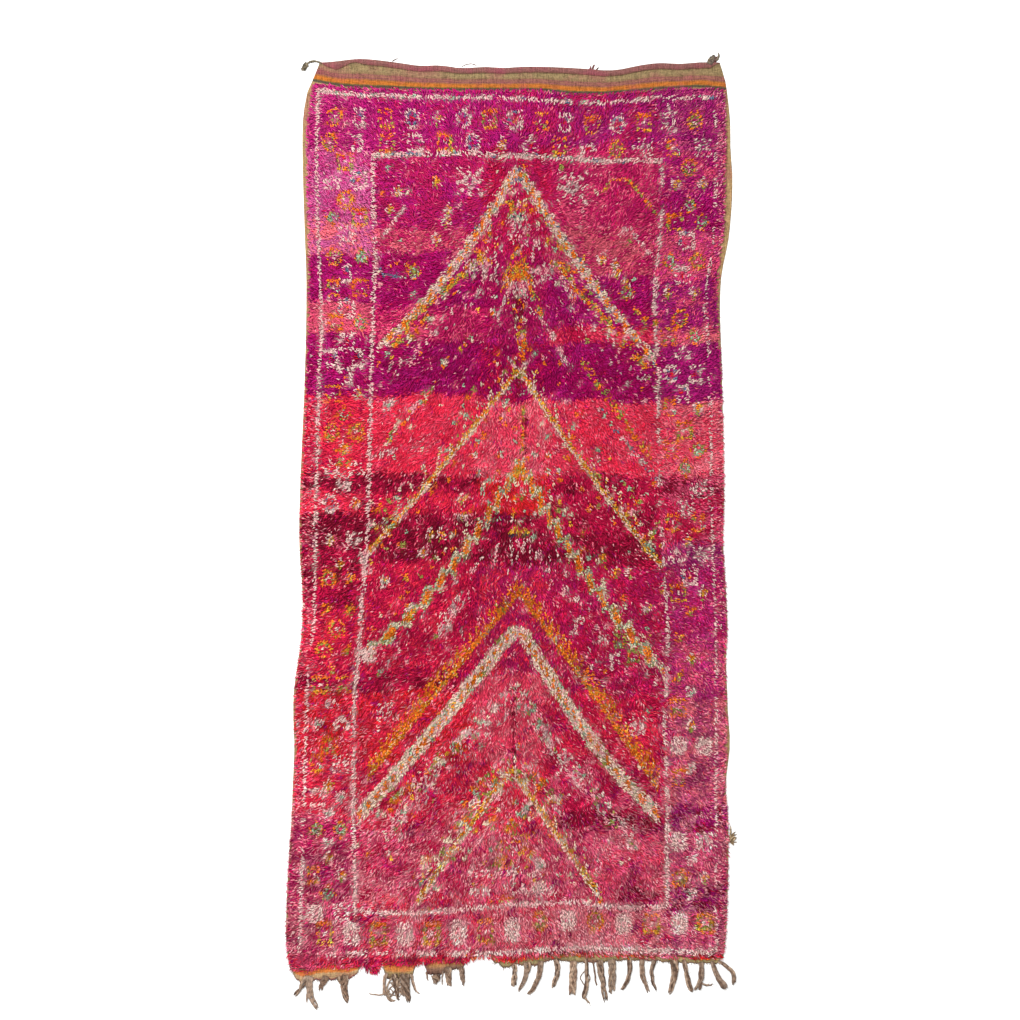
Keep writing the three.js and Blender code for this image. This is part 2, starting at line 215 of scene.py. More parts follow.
def curve(rows, place):
    # Reads a table of rows (place, value) in millimetres at any place in metres
    rows = np.array(sorted(rows), float) * mm
    return np.interp(place, rows[:, 0], rows[:, 1])


# Across, and where along the rug the shag starts there
shagStart = [
    (-930, 2004), (-801, 1981), (-709, 1974), (-341, 1962), (120, 1962), (258, 1946), (396, 1944),
    (719, 1969), (857, 1976), (976, 1962),
]
# Along, and how much of each bare selvedge shows there
bareLeft = [
    (-1511, 0), (-1377, 2), (-1234, 5), (-659, 2), (-520, 0), (-336, 0), (78, 5), (649, 5), (1092, 10),
    (1294, 17), (1690, 17), (1902, 26), (1958, 20), (2004, 5),
]
bareRight = [
    (-1377, 0), (-1234, 2), (-1128, 7), (-1050, 18), (-917, 5), (-659, 2), (-520, 0), (649, 0),
    (1092, 12), (1294, 26), (1571, 34), (1690, 20), (1902, 15), (2004, 0),
]


def shagLeft(y):
    return edgeAt("left", y) + curve(bareLeft, y)


def shagRight(y):
    return edgeAt("right", y) - curve(bareRight, y)


# Soft noise: size of its bumps in metres, and seed
noises = {
    "dyeCloud": (0.045, 41), "dyeGrain": (0.016, 42), "swell": (0.02, 43), "lineEdge": (0.018, 44),
    "patch": (0.026, 47), "widePatch": (0.08, 48), "turn": (0.03, 5), "wideTurn": (0.12, 6),
    "rise": (0.05, 8), "shade": (0.014, 10), "softShade": (0.032, 11), "wideShade": (0.14, 12),
    "paleTips": (0.06, 13), "bedLump": (0.03, 21), "ripple": (0.028, 31), "longRipple": (0.06, 32),
    "raggedEdge": (0.012, 51), "stripLump": (0.01, 52),
}
noiseSpan = 5  # metres before the bumps come again
chanceCells = (257, 263)  # cells across and along before the chances come again
rowShift = 0.37  # of a cell, from one row of knots to the next


def smoothNoise(kind, x, y):
    # Soft random bumps: a coarse random grid, read between its points with an eased share
    scale, seed = noises[kind]
    size = int(noiseSpan / scale) + 3
    grid = np.random.default_rng(seed).normal(0, 1, (size, size))
    u, v = x / scale + size, y / scale + size
    i, j = u.astype(int), v.astype(int)
    s, t = u - i, v - j
    s, t = s * s * (3 - 2 * s), t * t * (3 - 2 * t)
    i, j, nextI, nextJ = i % size, j % size, (i + 1) % size, (j + 1) % size
    return ((grid[i, j] * (1 - s) + grid[nextI, j] * s) * (1 - t)
            + (grid[i, nextJ] * (1 - s) + grid[nextI, nextJ] * s) * t)


def cellChance(x, y, wide, high, seed):
    # One random number for all places in a cell of a grid, whose rows are shifted like knots
    table = np.random.default_rng(seed).random(chanceCells)
    row = np.floor(y / (high * mm)).astype(int)
    column = np.floor(x / (wide * mm) + rowShift * row).astype(int)
    return table[column % chanceCells[0], row % chanceCells[1]]


def readTable(rows, place):
    # Reads rows (place, value) at any place, without a change of unit
    return np.interp(place, *np.array(rows).T)


# Dyed wool: colour, and the piece of its family
yarns = {
    "magenta": ("#AE1A6E", "magenta"), "fuchsia": ("#C03078", "magenta"),
    "raspberry": ("#B81E5A", "magenta"), "violet": ("#A21E6C", "plum"), "plum": ("#A00C54", "plum"),
    "burgundy": ("#84122E", "plum"), "crimson": ("#C41A48", "crimson"), "scarlet": ("#E82E4C", "crimson"),
    "red": ("#D4242C", "crimson"), "coral": ("#E84260", "rose"), "salmon": ("#EE7080", "rose"),
    "rose": ("#DC5074", "rose"), "dusk": ("#D0586C", "rose"), "orchid": ("#CC5C94", "mauve"),
    "mauve": ("#C04A76", "mauve"), "blush": ("#EC9CA4", "pale"), "cream": ("#E8C4BC", "pale"),
    "ivory": ("#E4CEB2", "pale"), "pearl": ("#BE9E9C", "pale"), "slate": ("#66748A", "bright"),
    "orange": ("#EC7424", "bright"), "amber": ("#DCA034", "bright"), "moss": ("#949448", "bright"),
    "jade": ("#9AB498", "bright"), "ink": ("#3A3444", "bright"),
}
yarnNumber = {name: i for i, name in enumerate(yarns)}
yarnColour = np.array([linear(code)[:3] for code, _ in yarns.values()])
yarnFamily = np.array([family for _, family in yarns.values()])

# Bands of dye from the flat-woven end down, for five lanes across the rug:
# where a band starts along the rug, its yarn, the yarn mixed in, and the share of that
bands = {
    "leftBorder": [
        (2100, "magenta", "fuchsia", 0.6), (1690, "fuchsia", "orchid", 0.62),
        (1480, "orchid", "fuchsia", 0.4), (1370, "salmon", "orchid", 0.5), (1210, "magenta", "plum", 0.3),
        (1000, "dusk", "rose", 0.5), (850, "plum", "magenta", 0.3), (560, "scarlet", "crimson", 0.3),
        (190, "burgundy", "crimson", 0.2), (120, "scarlet", "coral", 0.2),
        (10, "burgundy", "crimson", 0.2), (-150, "crimson", "burgundy", 0.3),
        (-430, "scarlet", "crimson", 0.4), (-730, "crimson", "burgundy", 0.3),
        (-800, "scarlet", "red", 0.4), (-1100, "scarlet", "coral", 0.2),
        (-1380, "raspberry", "rose", 0.4), (-1560, "raspberry", "mauve", 0.3),
        (-1740, "raspberry", "rose", 0.45), (-2020, "scarlet", "rose", 0.5),
    ],
    "leftField": [
        (2100, "magenta", "raspberry", 0.3), (1700, "raspberry", "magenta", 0.3),
        (1325, "dusk", "raspberry", 0.5), (1215, "plum", "magenta", 0.3),
        (960, "raspberry", "rose", 0.35), (800, "plum", "magenta", 0.2), (560, "scarlet", "coral", 0.4),
        (185, "burgundy", "crimson", 0.3), (110, "scarlet", "crimson", 0.3),
        (10, "burgundy", "crimson", 0.4), (-210, "crimson", "scarlet", 0.25),
        (-720, "burgundy", "crimson", 0.6), (-800, "scarlet", "red", 0.3),
        (-1130, "scarlet", "crimson", 0.4), (-1440, "crimson", "rose", 0.5),
        (-1740, "scarlet", "rose", 0.45), (-2020, "scarlet", "raspberry", 0.4),
    ],
    "centre": [
        (2100, "magenta", "raspberry", 0.4), (1700, "raspberry", "crimson", 0.4),
        (1210, "raspberry", "plum", 0.45), (870, "raspberry", "magenta", 0.3),
        (800, "plum", "crimson", 0.3), (540, "coral", "salmon", 0.35), (190, "red", "scarlet", 0.4),
        (20, "burgundy", "crimson", 0.4), (-210, "raspberry", "scarlet", 0.3),
        (-720, "coral", "salmon", 0.3), (-1130, "scarlet", "coral", 0.3), (-1450, "coral", "rose", 0.45),
        (-1720, "scarlet", "rose", 0.5), (-1790, "coral", "salmon", 0.4), (-2020, "red", "orange", 0.15),
    ],
    "rightField": [
        (2100, "violet", "raspberry", 0.4), (1700, "raspberry", "rose", 0.25),
        (1325, "dusk", "raspberry", 0.38), (1110, "magenta", "plum", 0.5), (870, "coral", "crimson", 0.4),
        (790, "plum", "magenta", 0.3), (530, "coral", "scarlet", 0.4), (190, "crimson", "burgundy", 0.12),
        (-90, "burgundy", "crimson", 0.4), (-230, "crimson", "raspberry", 0.5),
        (-820, "crimson", "scarlet", 0.3), (-1130, "crimson", "rose", 0.4),
        (-1360, "burgundy", "crimson", 0.6), (-1440, "rose", "coral", 0.3),
        (-1710, "crimson", "rose", 0.5), (-1790, "salmon", "blush", 0.25), (-2020, "red", "orange", 0.15),
    ],
    "rightBorder": [
        (2100, "violet", "mauve", 0.3), (1690, "magenta", "rose", 0.3), (1480, "magenta", "plum", 0.3),
        (1310, "rose", "fuchsia", 0.3), (1100, "violet", "rose", 0.3), (870, "rose", "salmon", 0.4),
        (800, "magenta", "violet", 0.4), (530, "salmon", "coral", 0.45), (190, "burgundy", "rose", 0.55),
        (100, "crimson", "rose", 0.45), (-120, "mauve", "violet", 0.4),
        (-230, "fuchsia", "raspberry", 0.5), (-560, "fuchsia", "rose", 0.4),
        (-840, "mauve", "salmon", 0.45), (-1330, "violet", "burgundy", 0.4),
        (-1450, "mauve", "rose", 0.4), (-1700, "violet", "burgundy", 0.4), (-1830, "mauve", "rose", 0.5),
        (-2020, "red", "orange", 0.1),
    ],
}
laneEdges = (-0.5, -0.12, 0.12, 0.5)  # of the width between the inner frame lines, from its middle

# White lines that frame the border and the field: place and value of each, both ends named
frameLines = {
    "outerLeft": [
        (1967, -898), (1690, -907), (1391, -903), (1092, -891), (815, -884), (714, -894), (355, -903),
        (9, -912), (-474, -919), (-709, -949), (-1188, -963), (-1672, -979), (-1994, -986)],
    "outerRight": [
        (1930, 925), (1506, 930), (1253, 917), (1092, 889), (953, 880), (723, 898), (332, 907),
        (-92, 912), (-511, 930), (-2000, 930)],
    "outerTop": [
        (-905, 1967), (-801, 1948), (-709, 1939), (-341, 1930), (-64, 1930), (212, 1911), (396, 1902),
        (511, 1911), (626, 1925), (930, 1930)],
    "outerBottom": [
        (-986, -2012), (-37, -2008), (106, -1994), (318, -1985), (585, -1994), (930, -2006)],
    "innerLeft": [
        (1663, -650), (1414, -645), (1184, -636), (953, -649), (493, -659), (216, -668), (-41, -672),
        (-382, -700), (-613, -714), (-889, -737), (-1350, -739), (-1815, -729)],
    "innerRight": [
        (1640, 682), (1437, 686), (1322, 677), (1115, 654), (953, 645), (668, 668), (332, 663), (78, 672),
        (-216, 691), (-553, 709), (-935, 695), (-1230, 705), (-1796, 706)],
    "innerTop": [
        (-654, 1663), (-525, 1667), (-249, 1672), (28, 1663), (281, 1649), (396, 1635), (682, 1640)],
    "innerBottom": [
        (-728, -1815), (-488, -1824), (-276, -1810), (-23, -1783), (318, -1773), (456, -1796),
        (706, -1796)],
}
# Which way each line runs, its ends along that way, its width, and how much of it is solid at its two ends
lineRuns = {
    "outerLeft": ("along", -2012, 1967, 14, 0.85, 0.96), "outerRight": ("along", -2006, 1930, 11, 0.8, 0.75),
    "outerTop": ("across", -905, 930, 19, 0.99, 0.8), "outerBottom": ("across", -940, 925, 24, 0.3, 1.5),
    "innerLeft": ("along", -1815, 1663, 19, 0.92, 0.98), "innerRight": ("along", -1796, 1640, 16, 0.78, 0.7),
    "innerTop": ("across", -654, 682, 24, 1.0, 0.95), "innerBottom": ("across", -728, 706, 22, 0.97, 0.8),
}

# Small knotted motifs, one letter a cell: w white, g grey, o orange, y amber, m moss, j jade,
# r red, p blush, b slate, k ink, and a dot for the ground
motifs = {
    "ring": [".www.", "wb.bw", "w.r.w", "wb.bw", ".www."],
    "dottedRing": ["wwbww", "w...w", "b.o.w", "w...w", ".wwww"],
    "hook": ["wwww.", "..bw.", ".r.w.", "w..w.", "wwww."],
    "bars": ["wwwww", ".g.g.", "w.r.w", ".....", "ww.ww"],
    "tri": ["..w..", ".www.", "w.r.w", "ww.ww", "....."],
    "knotWhite": ["w.w.w", ".w.g.", "wg.ww", ".w.w.", "w.g.w"],
    "block": ["pwwwp", "wwwww", "wwpww", "wwwww", "pwwwp"],
    "orangeRing": [".oyo.", "om.mo", "y.w.y", "om.mo", ".oyo."],
    "orangeGate": ["ooooo", "m.r.m", "o.w.y", "m...m", "yyoyy"],
    "orangeHook": ["oooo.", "m..o.", "o.w..", "...j.", "ooyo."],
    "orangeBars": ["ooyoo", ".....", "o.w.o", ".m.m.", "oo.oo"],
    "mossDiamond": ["..o..", ".mjm.", "oj.jo", ".mjm.", "..o.."],
    "star": ["w..w..w", ".w.w.w.", "..wgw..", "wwg.gww", "..wgw..", ".w.w.w.", "w..w..w"],
    "loop": [".ww", "w.w", "w.w", "w..", "w.."],
    "smoulder": ["o.o", ".yo", "om."],
    "yoke": [".yy..y.", "yymyymy", "kkk.kkk"],
    "box": ["mmmm", "o..m", "m..o", "mjmm"],
    "dot": ["oo", "my"],
    "paleDot": ["wpw", "gjw", "wg."],
    "tinyStar": [".w.", "wpw", "w.w"],
    "fleck": ["wj", "ow"],
    "ember": [".w.", "woy", "wyw", ".m."],
    "spindle": ["..o..", ".oyo.", "omymo", "oy.yo", "mo.om"],
    "ovals": ["oy.yo", "ym.my", "yo.oy", "mj.jm", "jkjkj"],
}
motifYarn = {"w": "cream", "g": "pearl", "o": "orange", "y": "amber", "m": "moss", "j": "jade",
             "r": "red", "p": "blush", "b": "slate", "k": "ink"}
motifKey = {"R": "ring", "D": "dottedRing", "H": "hook", "B": "bars", "T": "tri", "K": "knotWhite",
            "W": "block", "o": "orangeRing", "g": "orangeGate", "h": "orangeHook", "b": "orangeBars",
            "m": "mossDiamond", "e": "ember", "p": "paleDot", "s": "smoulder", "-": None}

# Border motifs down each side, one in the middle or two beside each other: place along, and letters of
# motifKey
borders = {
    "left": {"cell": 15, "tall": 1.12, "near": 0.25, "far": 0.73, "rows": [
        (1634, "g"), (1547, "KD"), (1459, "o"), (1378, "mg"), (1297, "K"), (1195, "om"), (1121, "H"),
        (1055, "hb"), (959, "D"), (891, "bm"), (804, "B"), (729, "HH"), (648, "D"), (567, "be"),
        (470, "m"), (391, "oo"), (318, "e"), (270, "b"), (222, "TT"), (155, "K"), (60, "Re"),
        (-108, "eK"), (-216, "e"), (-284, "os"), (-426, "ss"), (-514, "o"), (-608, "os"), (-696, "s"),
        (-770, "gb"), (-858, "p"), (-953, "pT"), (-1054, "b"), (-1135, "hK"), (-1237, "e"), (-1290, "Bp"),
        (-1365, "p"), (-1439, "mm"), (-1500, "p"), (-1567, "e"), (-1649, "he"), (-1735, "m"),
        (-1824, "WK")]},
    "right": {"cell": 15, "tall": 1.12, "near": 0.25, "far": 0.76, "rows": [
        (1607, "o"), (1533, "ee"), (1432, "m"), (1357, "gm"), (1270, "D"), (1175, "mo"), (1110, "B"),
        (1033, "ee"), (912, "o"), (830, "bm"), (749, "T"), (655, "RH"), (567, "H"), (500, "he"),
        (398, "g"), (310, "bm"), (222, "m"), (128, "-K"), (34, "K"), (-27, "hh"), (-115, "e"),
        (-183, "TK"), (-277, "D"), (-350, "ge"), (-430, "s"), (-554, "s-"), (-649, "e"), (-730, "s-"),
        (-811, "p"), (-878, "b-"), (-960, "e"), (-1054, "WW"), (-1155, "p"), (-1200, "b-"), (-1493, "WK"),
        (-1580, "p"), (-1662, "oe"), (-1735, "p"), (-1865, "Wg")]},
}
# Rows of motifs across: the two frame lines they lie between, how far from the first, ends, letters
crossRows = [
    {"between": ("outerTop", "innerTop"), "share": 0.38, "from": -824, "to": 834, "cell": 14, "tall": 1.3,
     "row": "oHgReRgDbHgRgKo"},
    {"between": ("outerTop", "innerTop"), "share": 0.8, "from": -847, "to": 870, "cell": 14, "tall": 1.25,
     "row": "oHgBgReTgToKhK"},
    {"between": ("innerBottom", "outerBottom"), "share": 0.52, "from": -870, "to": -9, "cell": 15,
     "tall": 1.5, "row": "gWgWgWgW"},
    {"between": ("innerBottom", "outerBottom"), "share": 0.38, "from": 120, "to": 889, "cell": 15,
     "tall": 1.25, "row": "oWoWgWb"},
]

# Chevrons of the field: apex, middle and foot of each arm (across, along), width of the arm, how round its
# apex is, length of a knot group, and how it is knotted. Specks lie beside an arm: from and to how far above
# it, their share, and their mix
chevrons = [
    {"apex": (18, 1584), "left": [(-306, 1116), (-617, 790)], "right": [(342, 1104), (654, 716)],
     "width": 50, "round": 18, "beat": 54, "knots": "beads",
     "specks": [(-85, -25, 0.26, "confetti"), (-165, -85, 0.17, "chalk")]},
    {"apex": (23, 677), "left": [(-355, 205), (-686, -180)], "right": [(378, 163), (682, -225)],
     "width": 21, "round": 6, "beat": 92, "knots": "ticked",
     "specks": [(-85, -20, 0.07, "confetti"), (20, 120, 0.1, "confetti")]},
    {"apex": (28, 235), "left": [(-295, -240), (-663, -613)], "right": [(359, -305), (682, -700)],
     "width": 66, "round": 6, "beat": 76, "knots": "diamonds",
     "specks": [(-110, -36, 0.04, "chalk"), (34, 100, 0.1, "confetti")]},
    {"apex": (23, -326), "left": [(-302, -704), (-663, -1150)], "right": [(322, -716), (659, -1200)],
     "width": 46, "round": 10, "beat": 47, "knots": "chain", "specks": [(24, 90, 0.03, "chalk")]},
    {"apex": (14, -530), "left": [(-309, -909), (-709, -1368)], "right": [(318, -972), (659, -1363)],
     "width": 60, "round": 34, "beat": 49, "knots": "ribbon", "specks": []},
    {"apex": (0, -800), "left": [(-313, -1124), (-594, -1465)], "right": [(280, -1170), (557, -1479)],
     "width": 70, "round": 10, "beat": 60, "knots": "faint", "specks": [(-90, 40, 0.09, "chalk")]},
    {"apex": (-9, -1165), "left": [(-258, -1497), (-433, -1750)], "right": [(212, -1479), (387, -1727)],
     "width": 24, "round": 6, "beat": 80, "knots": "ticked",
     "specks": [(-90, -14, 0.1, "confetti"), (14, 90, 0.1, "chalk")]},
]
# Mixes of yarn for specks and trails, and the cell that one speck fills
mixes = {
    "confetti": {"cell": (17, 20),
                 "yarns": ("orange", "amber", "moss", "jade", "ivory", "ivory", "orange", "blush")},
    "chalk": {"cell": (9, 26), "yarns": ("cream", "blush", "pearl", "blush", "cream")},
    "mint": {"cell": (13, 13), "yarns": ("jade", "jade", "ivory", "moss")},
    "flame": {"cell": (12, 14), "yarns": ("orange", "amber", "moss", "orange")},
    "iris": {"cell": (16, 14), "yarns": ("slate", "cream", "jade", "pearl")},
    "shade": {"cell": (12, 12), "yarns": ("ink", "slate")},
    "beadMix": {"cell": (11, 11), "yarns": ("jade", "amber", "blush", "moss", "orange", "slate", "jade")},
}
# Broken lines of knots: path, width, share that is knotted, and mix
trails = [
    ([(-157, 1175), (-203, 1147), (-433, 944), (-502, 861), (-548, 792)], 26, 0.6, "flame"),
    ([(198, 1170), (290, 1046), (442, 884), (511, 792), (636, 668)], 26, 0.6, "flame"),
    ([(-502, 1428), (-594, 1299)], 16, 0.9, "chalk"),
    ([(-620, 1140), (-594, 1105), (-479, 1105), (-440, 1072)], 12, 0.9, "iris"),
    ([(-560, 1158), (-500, 1166), (-450, 1120)], 16, 0.7, "flame"),
    ([(396, 1483), (451, 1552), (525, 1552), (580, 1492), (649, 1400)], 14, 0.75, "flame"),
    ([(488, 1299), (525, 1331), (571, 1276), (626, 1207)], 22, 0.8, "chalk"),
    ([(-203, 815), (-341, 686), (-410, 553), (-525, 424), (-594, 332)], 34, 0.45, "confetti"),
    ([(318, 714), (424, 562), (520, 424), (580, 332), (626, 286)], 34, 0.5, "flame"),
    ([(396, 493), (497, 355), (626, 216), (649, 170)], 26, 0.5, "iris"),
    ([(-663, 263), (-548, 309)], 24, 0.6, "chalk"),
    ([(-663, -14), (-525, 124)], 70, 0.22, "confetti"),
    ([(488, 124), (557, -14), (649, -152)], 90, 0.2, "confetti"),
    ([(-226, -359), (-286, -451), (-341, -544)], 50, 0.4, "chalk"),
    ([(120, -180), (180, -322), (249, -345), (327, -438), (419, -567)], 50, 0.22, "chalk"),
    ([(18, 1360), (18, 1250)], 80, 0.35, "chalk"),
    ([(-20, 1372), (64, 1372)], 14, 0.9, "mint"),
    ([(18, 1140), (30, 1060), (18, 700)], 60, 0.3, "confetti"),
    ([(-190, 1150), (-100, 1130), (20, 1060), (130, 1130), (240, 1090)], 80, 0.42, "chalk"),
    ([(-168, 1232), (-140, 1180), (-110, 1172)], 30, 0.7, "flame"),
    ([(180, 1172), (250, 1150), (250, 1110)], 30, 0.7, "flame"),
    ([(-50, 1090), (18, 1240), (86, 1090)], 16, 0.85, "flame"),
    ([(41, 515), (41, 309)], 12, 0.7, "flame"),
    ([(4, 1553), (32, 1553)], 18, 0.9, "shade"),
    ([(-14, 1073), (-48, 985), (-71, 935), (-71, 889)], 14, 0.8, "chalk"),
    ([(35, 1082), (55, 985), (85, 935)], 14, 0.8, "chalk"),
    ([(105, 967), (135, 892), (165, 860), (205, 800), (230, 720), (260, 690)], 22, 0.6, "chalk"),
    ([(-5, 1110), (-55, 1040)], 20, 0.8, "flame"),
    ([(50, 1120), (100, 1010), (125, 930)], 24, 0.75, "flame"),
    ([(38, 890), (38, 740)], 44, 0.6, "flame"),
    ([(-32, 732), (18, 677)], 12, 0.95, "chalk"),
    ([(77, 722), (23, 677)], 12, 0.95, "chalk"),
    ([(-78, -120), (-84, -216)], 10, 0.95, "chalk"),
    ([(-11, -98), (-11, -216)], 10, 0.95, "chalk"),
    ([(17, -105), (30, -150), (12, -190)], 9, 0.95, "chalk"),
    ([(45, -98), (42, -165)], 9, 0.95, "chalk"),
    ([(72, -98), (74, -235)], 10, 0.95, "chalk"),
    ([(-9, -1430), (-60, -1560), (-130, -1690)], 60, 0.3, "flame"),
    ([(-9, -1430), (60, -1540), (110, -1640)], 60, 0.3, "flame"),
    ([(-5, -1400), (0, -1700)], 90, 0.25, "chalk"),
    ([(28, 180), (20, 60), (20, 0)], 60, 0.3, "confetti"),
    ([(64, -1188), (134, -1239), (203, -1303)], 60, 0.3, "flame"),
    ([(-60, -1230), (-250, -1440), (-455, -1667)], 84, 0.3, "confetti"),
    ([(-250, -1060), (-345, -1121), (-480, -1240), (-610, -1371)], 46, 0.42, "confetti"),
    ([(-28, -1400), (10, -1560), (-10, -1720)], 220, 0.14, "confetti"),
    ([(-40, -1150), (-120, -1210), (-210, -1310)], 75, 0.5, "confetti"),
    ([(30, -1150), (120, -1215), (215, -1310)], 60, 0.45, "confetti"),
]
# Share of a motif's knots that are there, by place along the rug in metres
motifKeep = [(-1.8, 0.86), (-1.2, 0.84), (-0.9, 0.74), (0.8, 0.74), (1.5, 0.76), (1.65, 0.66), (2, 0.64)]
fieldTall = 1.12  # height of a cell over its width
# Single motifs of the field: chart, cell, and places
fieldMotifs = [
    ("star", 17, [(-203, 1543)]),
    ("star", 20, [(268, 1516)]),
    ("ember", 14, [
        (-534, 1497), (-571, 1419), (-355, 1543), (-304, 1414), (-313, 1359), (-359, 1276), (405, 1184),
        (465, 1161), (474, 1124), (511, 1078), (-474, -438), (-240, 78), (-240, 9), (-387, -83),
        (-419, -166), (-336, -83), (405, -184), (613, -419), (470, -253), (534, -258)]),
    ("mossDiamond", 15, [(-456, 1128), (520, 1032), (-571, -28)]),
    ("dot", 15, [(567, 949), (603, 907), (649, 898), (-502, -276), (-594, -290), (-364, 1552)]),
    ("paleDot", 16, [(-576, 516), (-690, -180), (-594, -300), (120, -1603), (120, -1709), (60, -1340)]),
    ("loop", 15, [(465, -663), (300, -500), (-330, -480)]),
    ("box", 15, [(488, -571), (553, -640)]),
    ("block", 14, [(-668, -631)]),
    ("knotWhite", 15, [(-590, -898), (571, -963)]),
    ("yoke", 14, [(26, -70)]),
    ("spindle", 16, [(28, 215), (14, 1130)]),
    ("ovals", 14, [(18, 1412)]),
    ("tinyStar", 13, [
        (-189, -1635), (-129, -1635), (-71, -1640), (-9, -1635), (106, -1637), (-184, -1720),
        (-129, -1722), (46, -1720), (113, -1722), (170, -1720)]),
    ("fleck", 12, [
        (-180, 286), (-64, 286), (97, 286), (161, 286), (-166, 207), (157, 207), (207, 207), (-90, 1010),
        (-97, 944)]),
]
# Uneven dye: share of knots changed in a patch by place along the rug in metres, how strong the noise
# has to be there, how much of it is wide patches, and the yarns
unevenDye = {
    "share": [(-2.02, 0.1), (-2, 0.6), (-1.35, 0.5), (-1.15, 0.3), (-0.9, 0.3), (-0.4, 0.2), (0.3, 0.12),
              (1.2, 0.08)],
    "edge": 0.65, "wide": 0.7, "dark": ["plum", "magenta", "crimson"], "pale": ["salmon", "rose", "blush"],
}
# Dark patches in the dye: place, half width and half height, and the share of burgundy in them
darkShare = 0.55
darkPatches = [
    (-456, -129, 70, 60), (544, -161, 60, 60), (-871, -60, 110, 90), (74, -1359, 30, 35),
    (626, -1405, 50, 30), (534, -1736, 130, 30), (-686, 9, 60, 60), (-600, 190, 160, 22),
    (18, 1228, 16, 38), (2, -900, 11, 110), (0, -1085, 12, 85), (16, 965, 24, 80), (27, 610, 20, 70),
    (50, 400, 14, 110), (25, -160, 66, 76),
]


def motifStamps():
    # Every small motif as (across, along, name, cell, height of a cell over its width), from the rows above
    stamps = []
    for side, border in borders.items():
        outer, inner = frameLines["outer" + side.capitalize()], frameLines["inner" + side.capitalize()]
        for along, letters in border["rows"]:
            y = along * mm
            shares = [0.5] if len(letters) == 1 else [border["near"], border["far"]]
            for share, letter in zip(shares, letters if side == "right" else letters[::-1]):
                x = curve(inner, y) + (curve(outer, y) - curve(inner, y)) * share
                stamps.append((x, y, motifKey[letter], border["cell"] * mm, border["tall"]))
    for row in crossRows:
        first, second = (frameLines[name] for name in row["between"])
        for x, letter in zip(np.linspace(row["from"], row["to"], len(row["row"])) * mm, row["row"]):
            y = curve(first, x) + (curve(second, x) - curve(first, x)) * row["share"]
            stamps.append((x, y, motifKey[letter], row["cell"] * mm, row["tall"]))
    for name, cell, places in fieldMotifs:
        stamps += [(across * mm, along * mm, name, cell * mm, fieldTall) for across, along in places]
    return [stamp for stamp in stamps if stamp[2]]


def pathDistance(path, x, y):
    # Distance of each place from a path of straight stretches
    corners = np.array(path) * mm
    best = np.full(len(x), np.inf)
    for start, end in zip(corners[:-1], corners[1:]):
        way = end - start
        share = np.clip(((x - start[0]) * way[0] + (y - start[1]) * way[1]) / (way @ way), 0, 1)
        best = np.minimum(best, np.hypot(x - start[0] - way[0] * share, y - start[1] - way[1] * share))
    return best


# How bands wander, in metres: blur of their edges, waves (height, turns across, turns along, start),
# and how strongly clouds change the share of the mixed yarn
wander = {
    "laneBlur": 0.015, "bandBlur": 0.008, "waves": [(0.008, 9, 0, 1.7), (0.006, 23, 4, 0)],
    "cloud": 0.3, "grain": 0.2, "frameGap": 0.01,
}
# Faded locks outside the outer lines: both ends along the rug and least place across, in metres, their
# share, and yarns
rimDyes = [(-2, 0.55, -2, 0.2, ["salmon", "blush", "rose"]),
           (1.2, 3, 0, 0.4, ["salmon", "blush", "orchid", "mauve"])]
# Stray knots: share of cells in the field and in the border, and share of single faded locks
stray = {"field": 0.008, "border": 0.003, "faded": 0.005, "cellFill": 0.9}
cellSeeds = {"field": 60, "border": 62, "ribbon": 64, "faintChalk": 66, "faintMint": 67, "topLine": 68,
             "lineGaps": 45, "arm": 70, "trail": 110}
# Yarns that are blended knot by knot, and their shares
blends = {
    "ribbon": (["ivory", "cream", "blush"], [0.5, 0.34, 0.16]),
    "bead": (["orange", "amber"], [0.85, 0.15]),
    "ticked": (["amber", "orange", "ivory", "moss"], [0.45, 0.3, 0.15, 0.1]),
    "foot": (["ivory", "blush"], [0.7, 0.3]),
    "tick": (["ivory", "cream", "amber"], [0.5, 0.25, 0.25]),
    "diamond": (["orange", "amber"], [0.8, 0.2]),
    "diamondRim": (["ivory", "jade", "moss"], [0.5, 0.32, 0.18]),
    "scallop": (["orange", "amber", "ivory", "moss"], [0.76, 0.17, 0.05, 0.02]),
    "chainLine": (["orange", "amber", "ivory", "moss"], [0.7, 0.2, 0.06, 0.04]),
    "frameLine": (["cream", "blush", "pearl"], [0.72, 0.18, 0.1]),
}
# Knots of an arm. Ribbons and beads: width at a bead, how far it pinches between beads and narrows to the
# foot, plain core, share sprinkled outside it, and half width of a bead's centre. The rest are half widths
# in millimetres, or shares of the arm's own half width
ribbonLook = {"widest": 1.15, "pinch": 0.5, "narrowing": 0.2, "uneven": 0.1, "core": 7, "sprinkle": 0.28,
              "bead": 13.5}
tickedLook = {"foot": 4, "tick": 6.5, "lean": 0.43, "tickEnd": 50}
diamondLook = {"centre": 0.68, "rim": 1.08, "growth": 0.25}
chainLook = {"scallop": 14.5, "swing": 1.8, "line": 10.5}
faintLook = {"chalk": 0.32, "mint": 0.12}
lineLook = {"wobble": 1.5, "wide": 0.95, "uneven": 0.14, "fill": 0.94, "gap": 46, "sprinkle": 0.22}


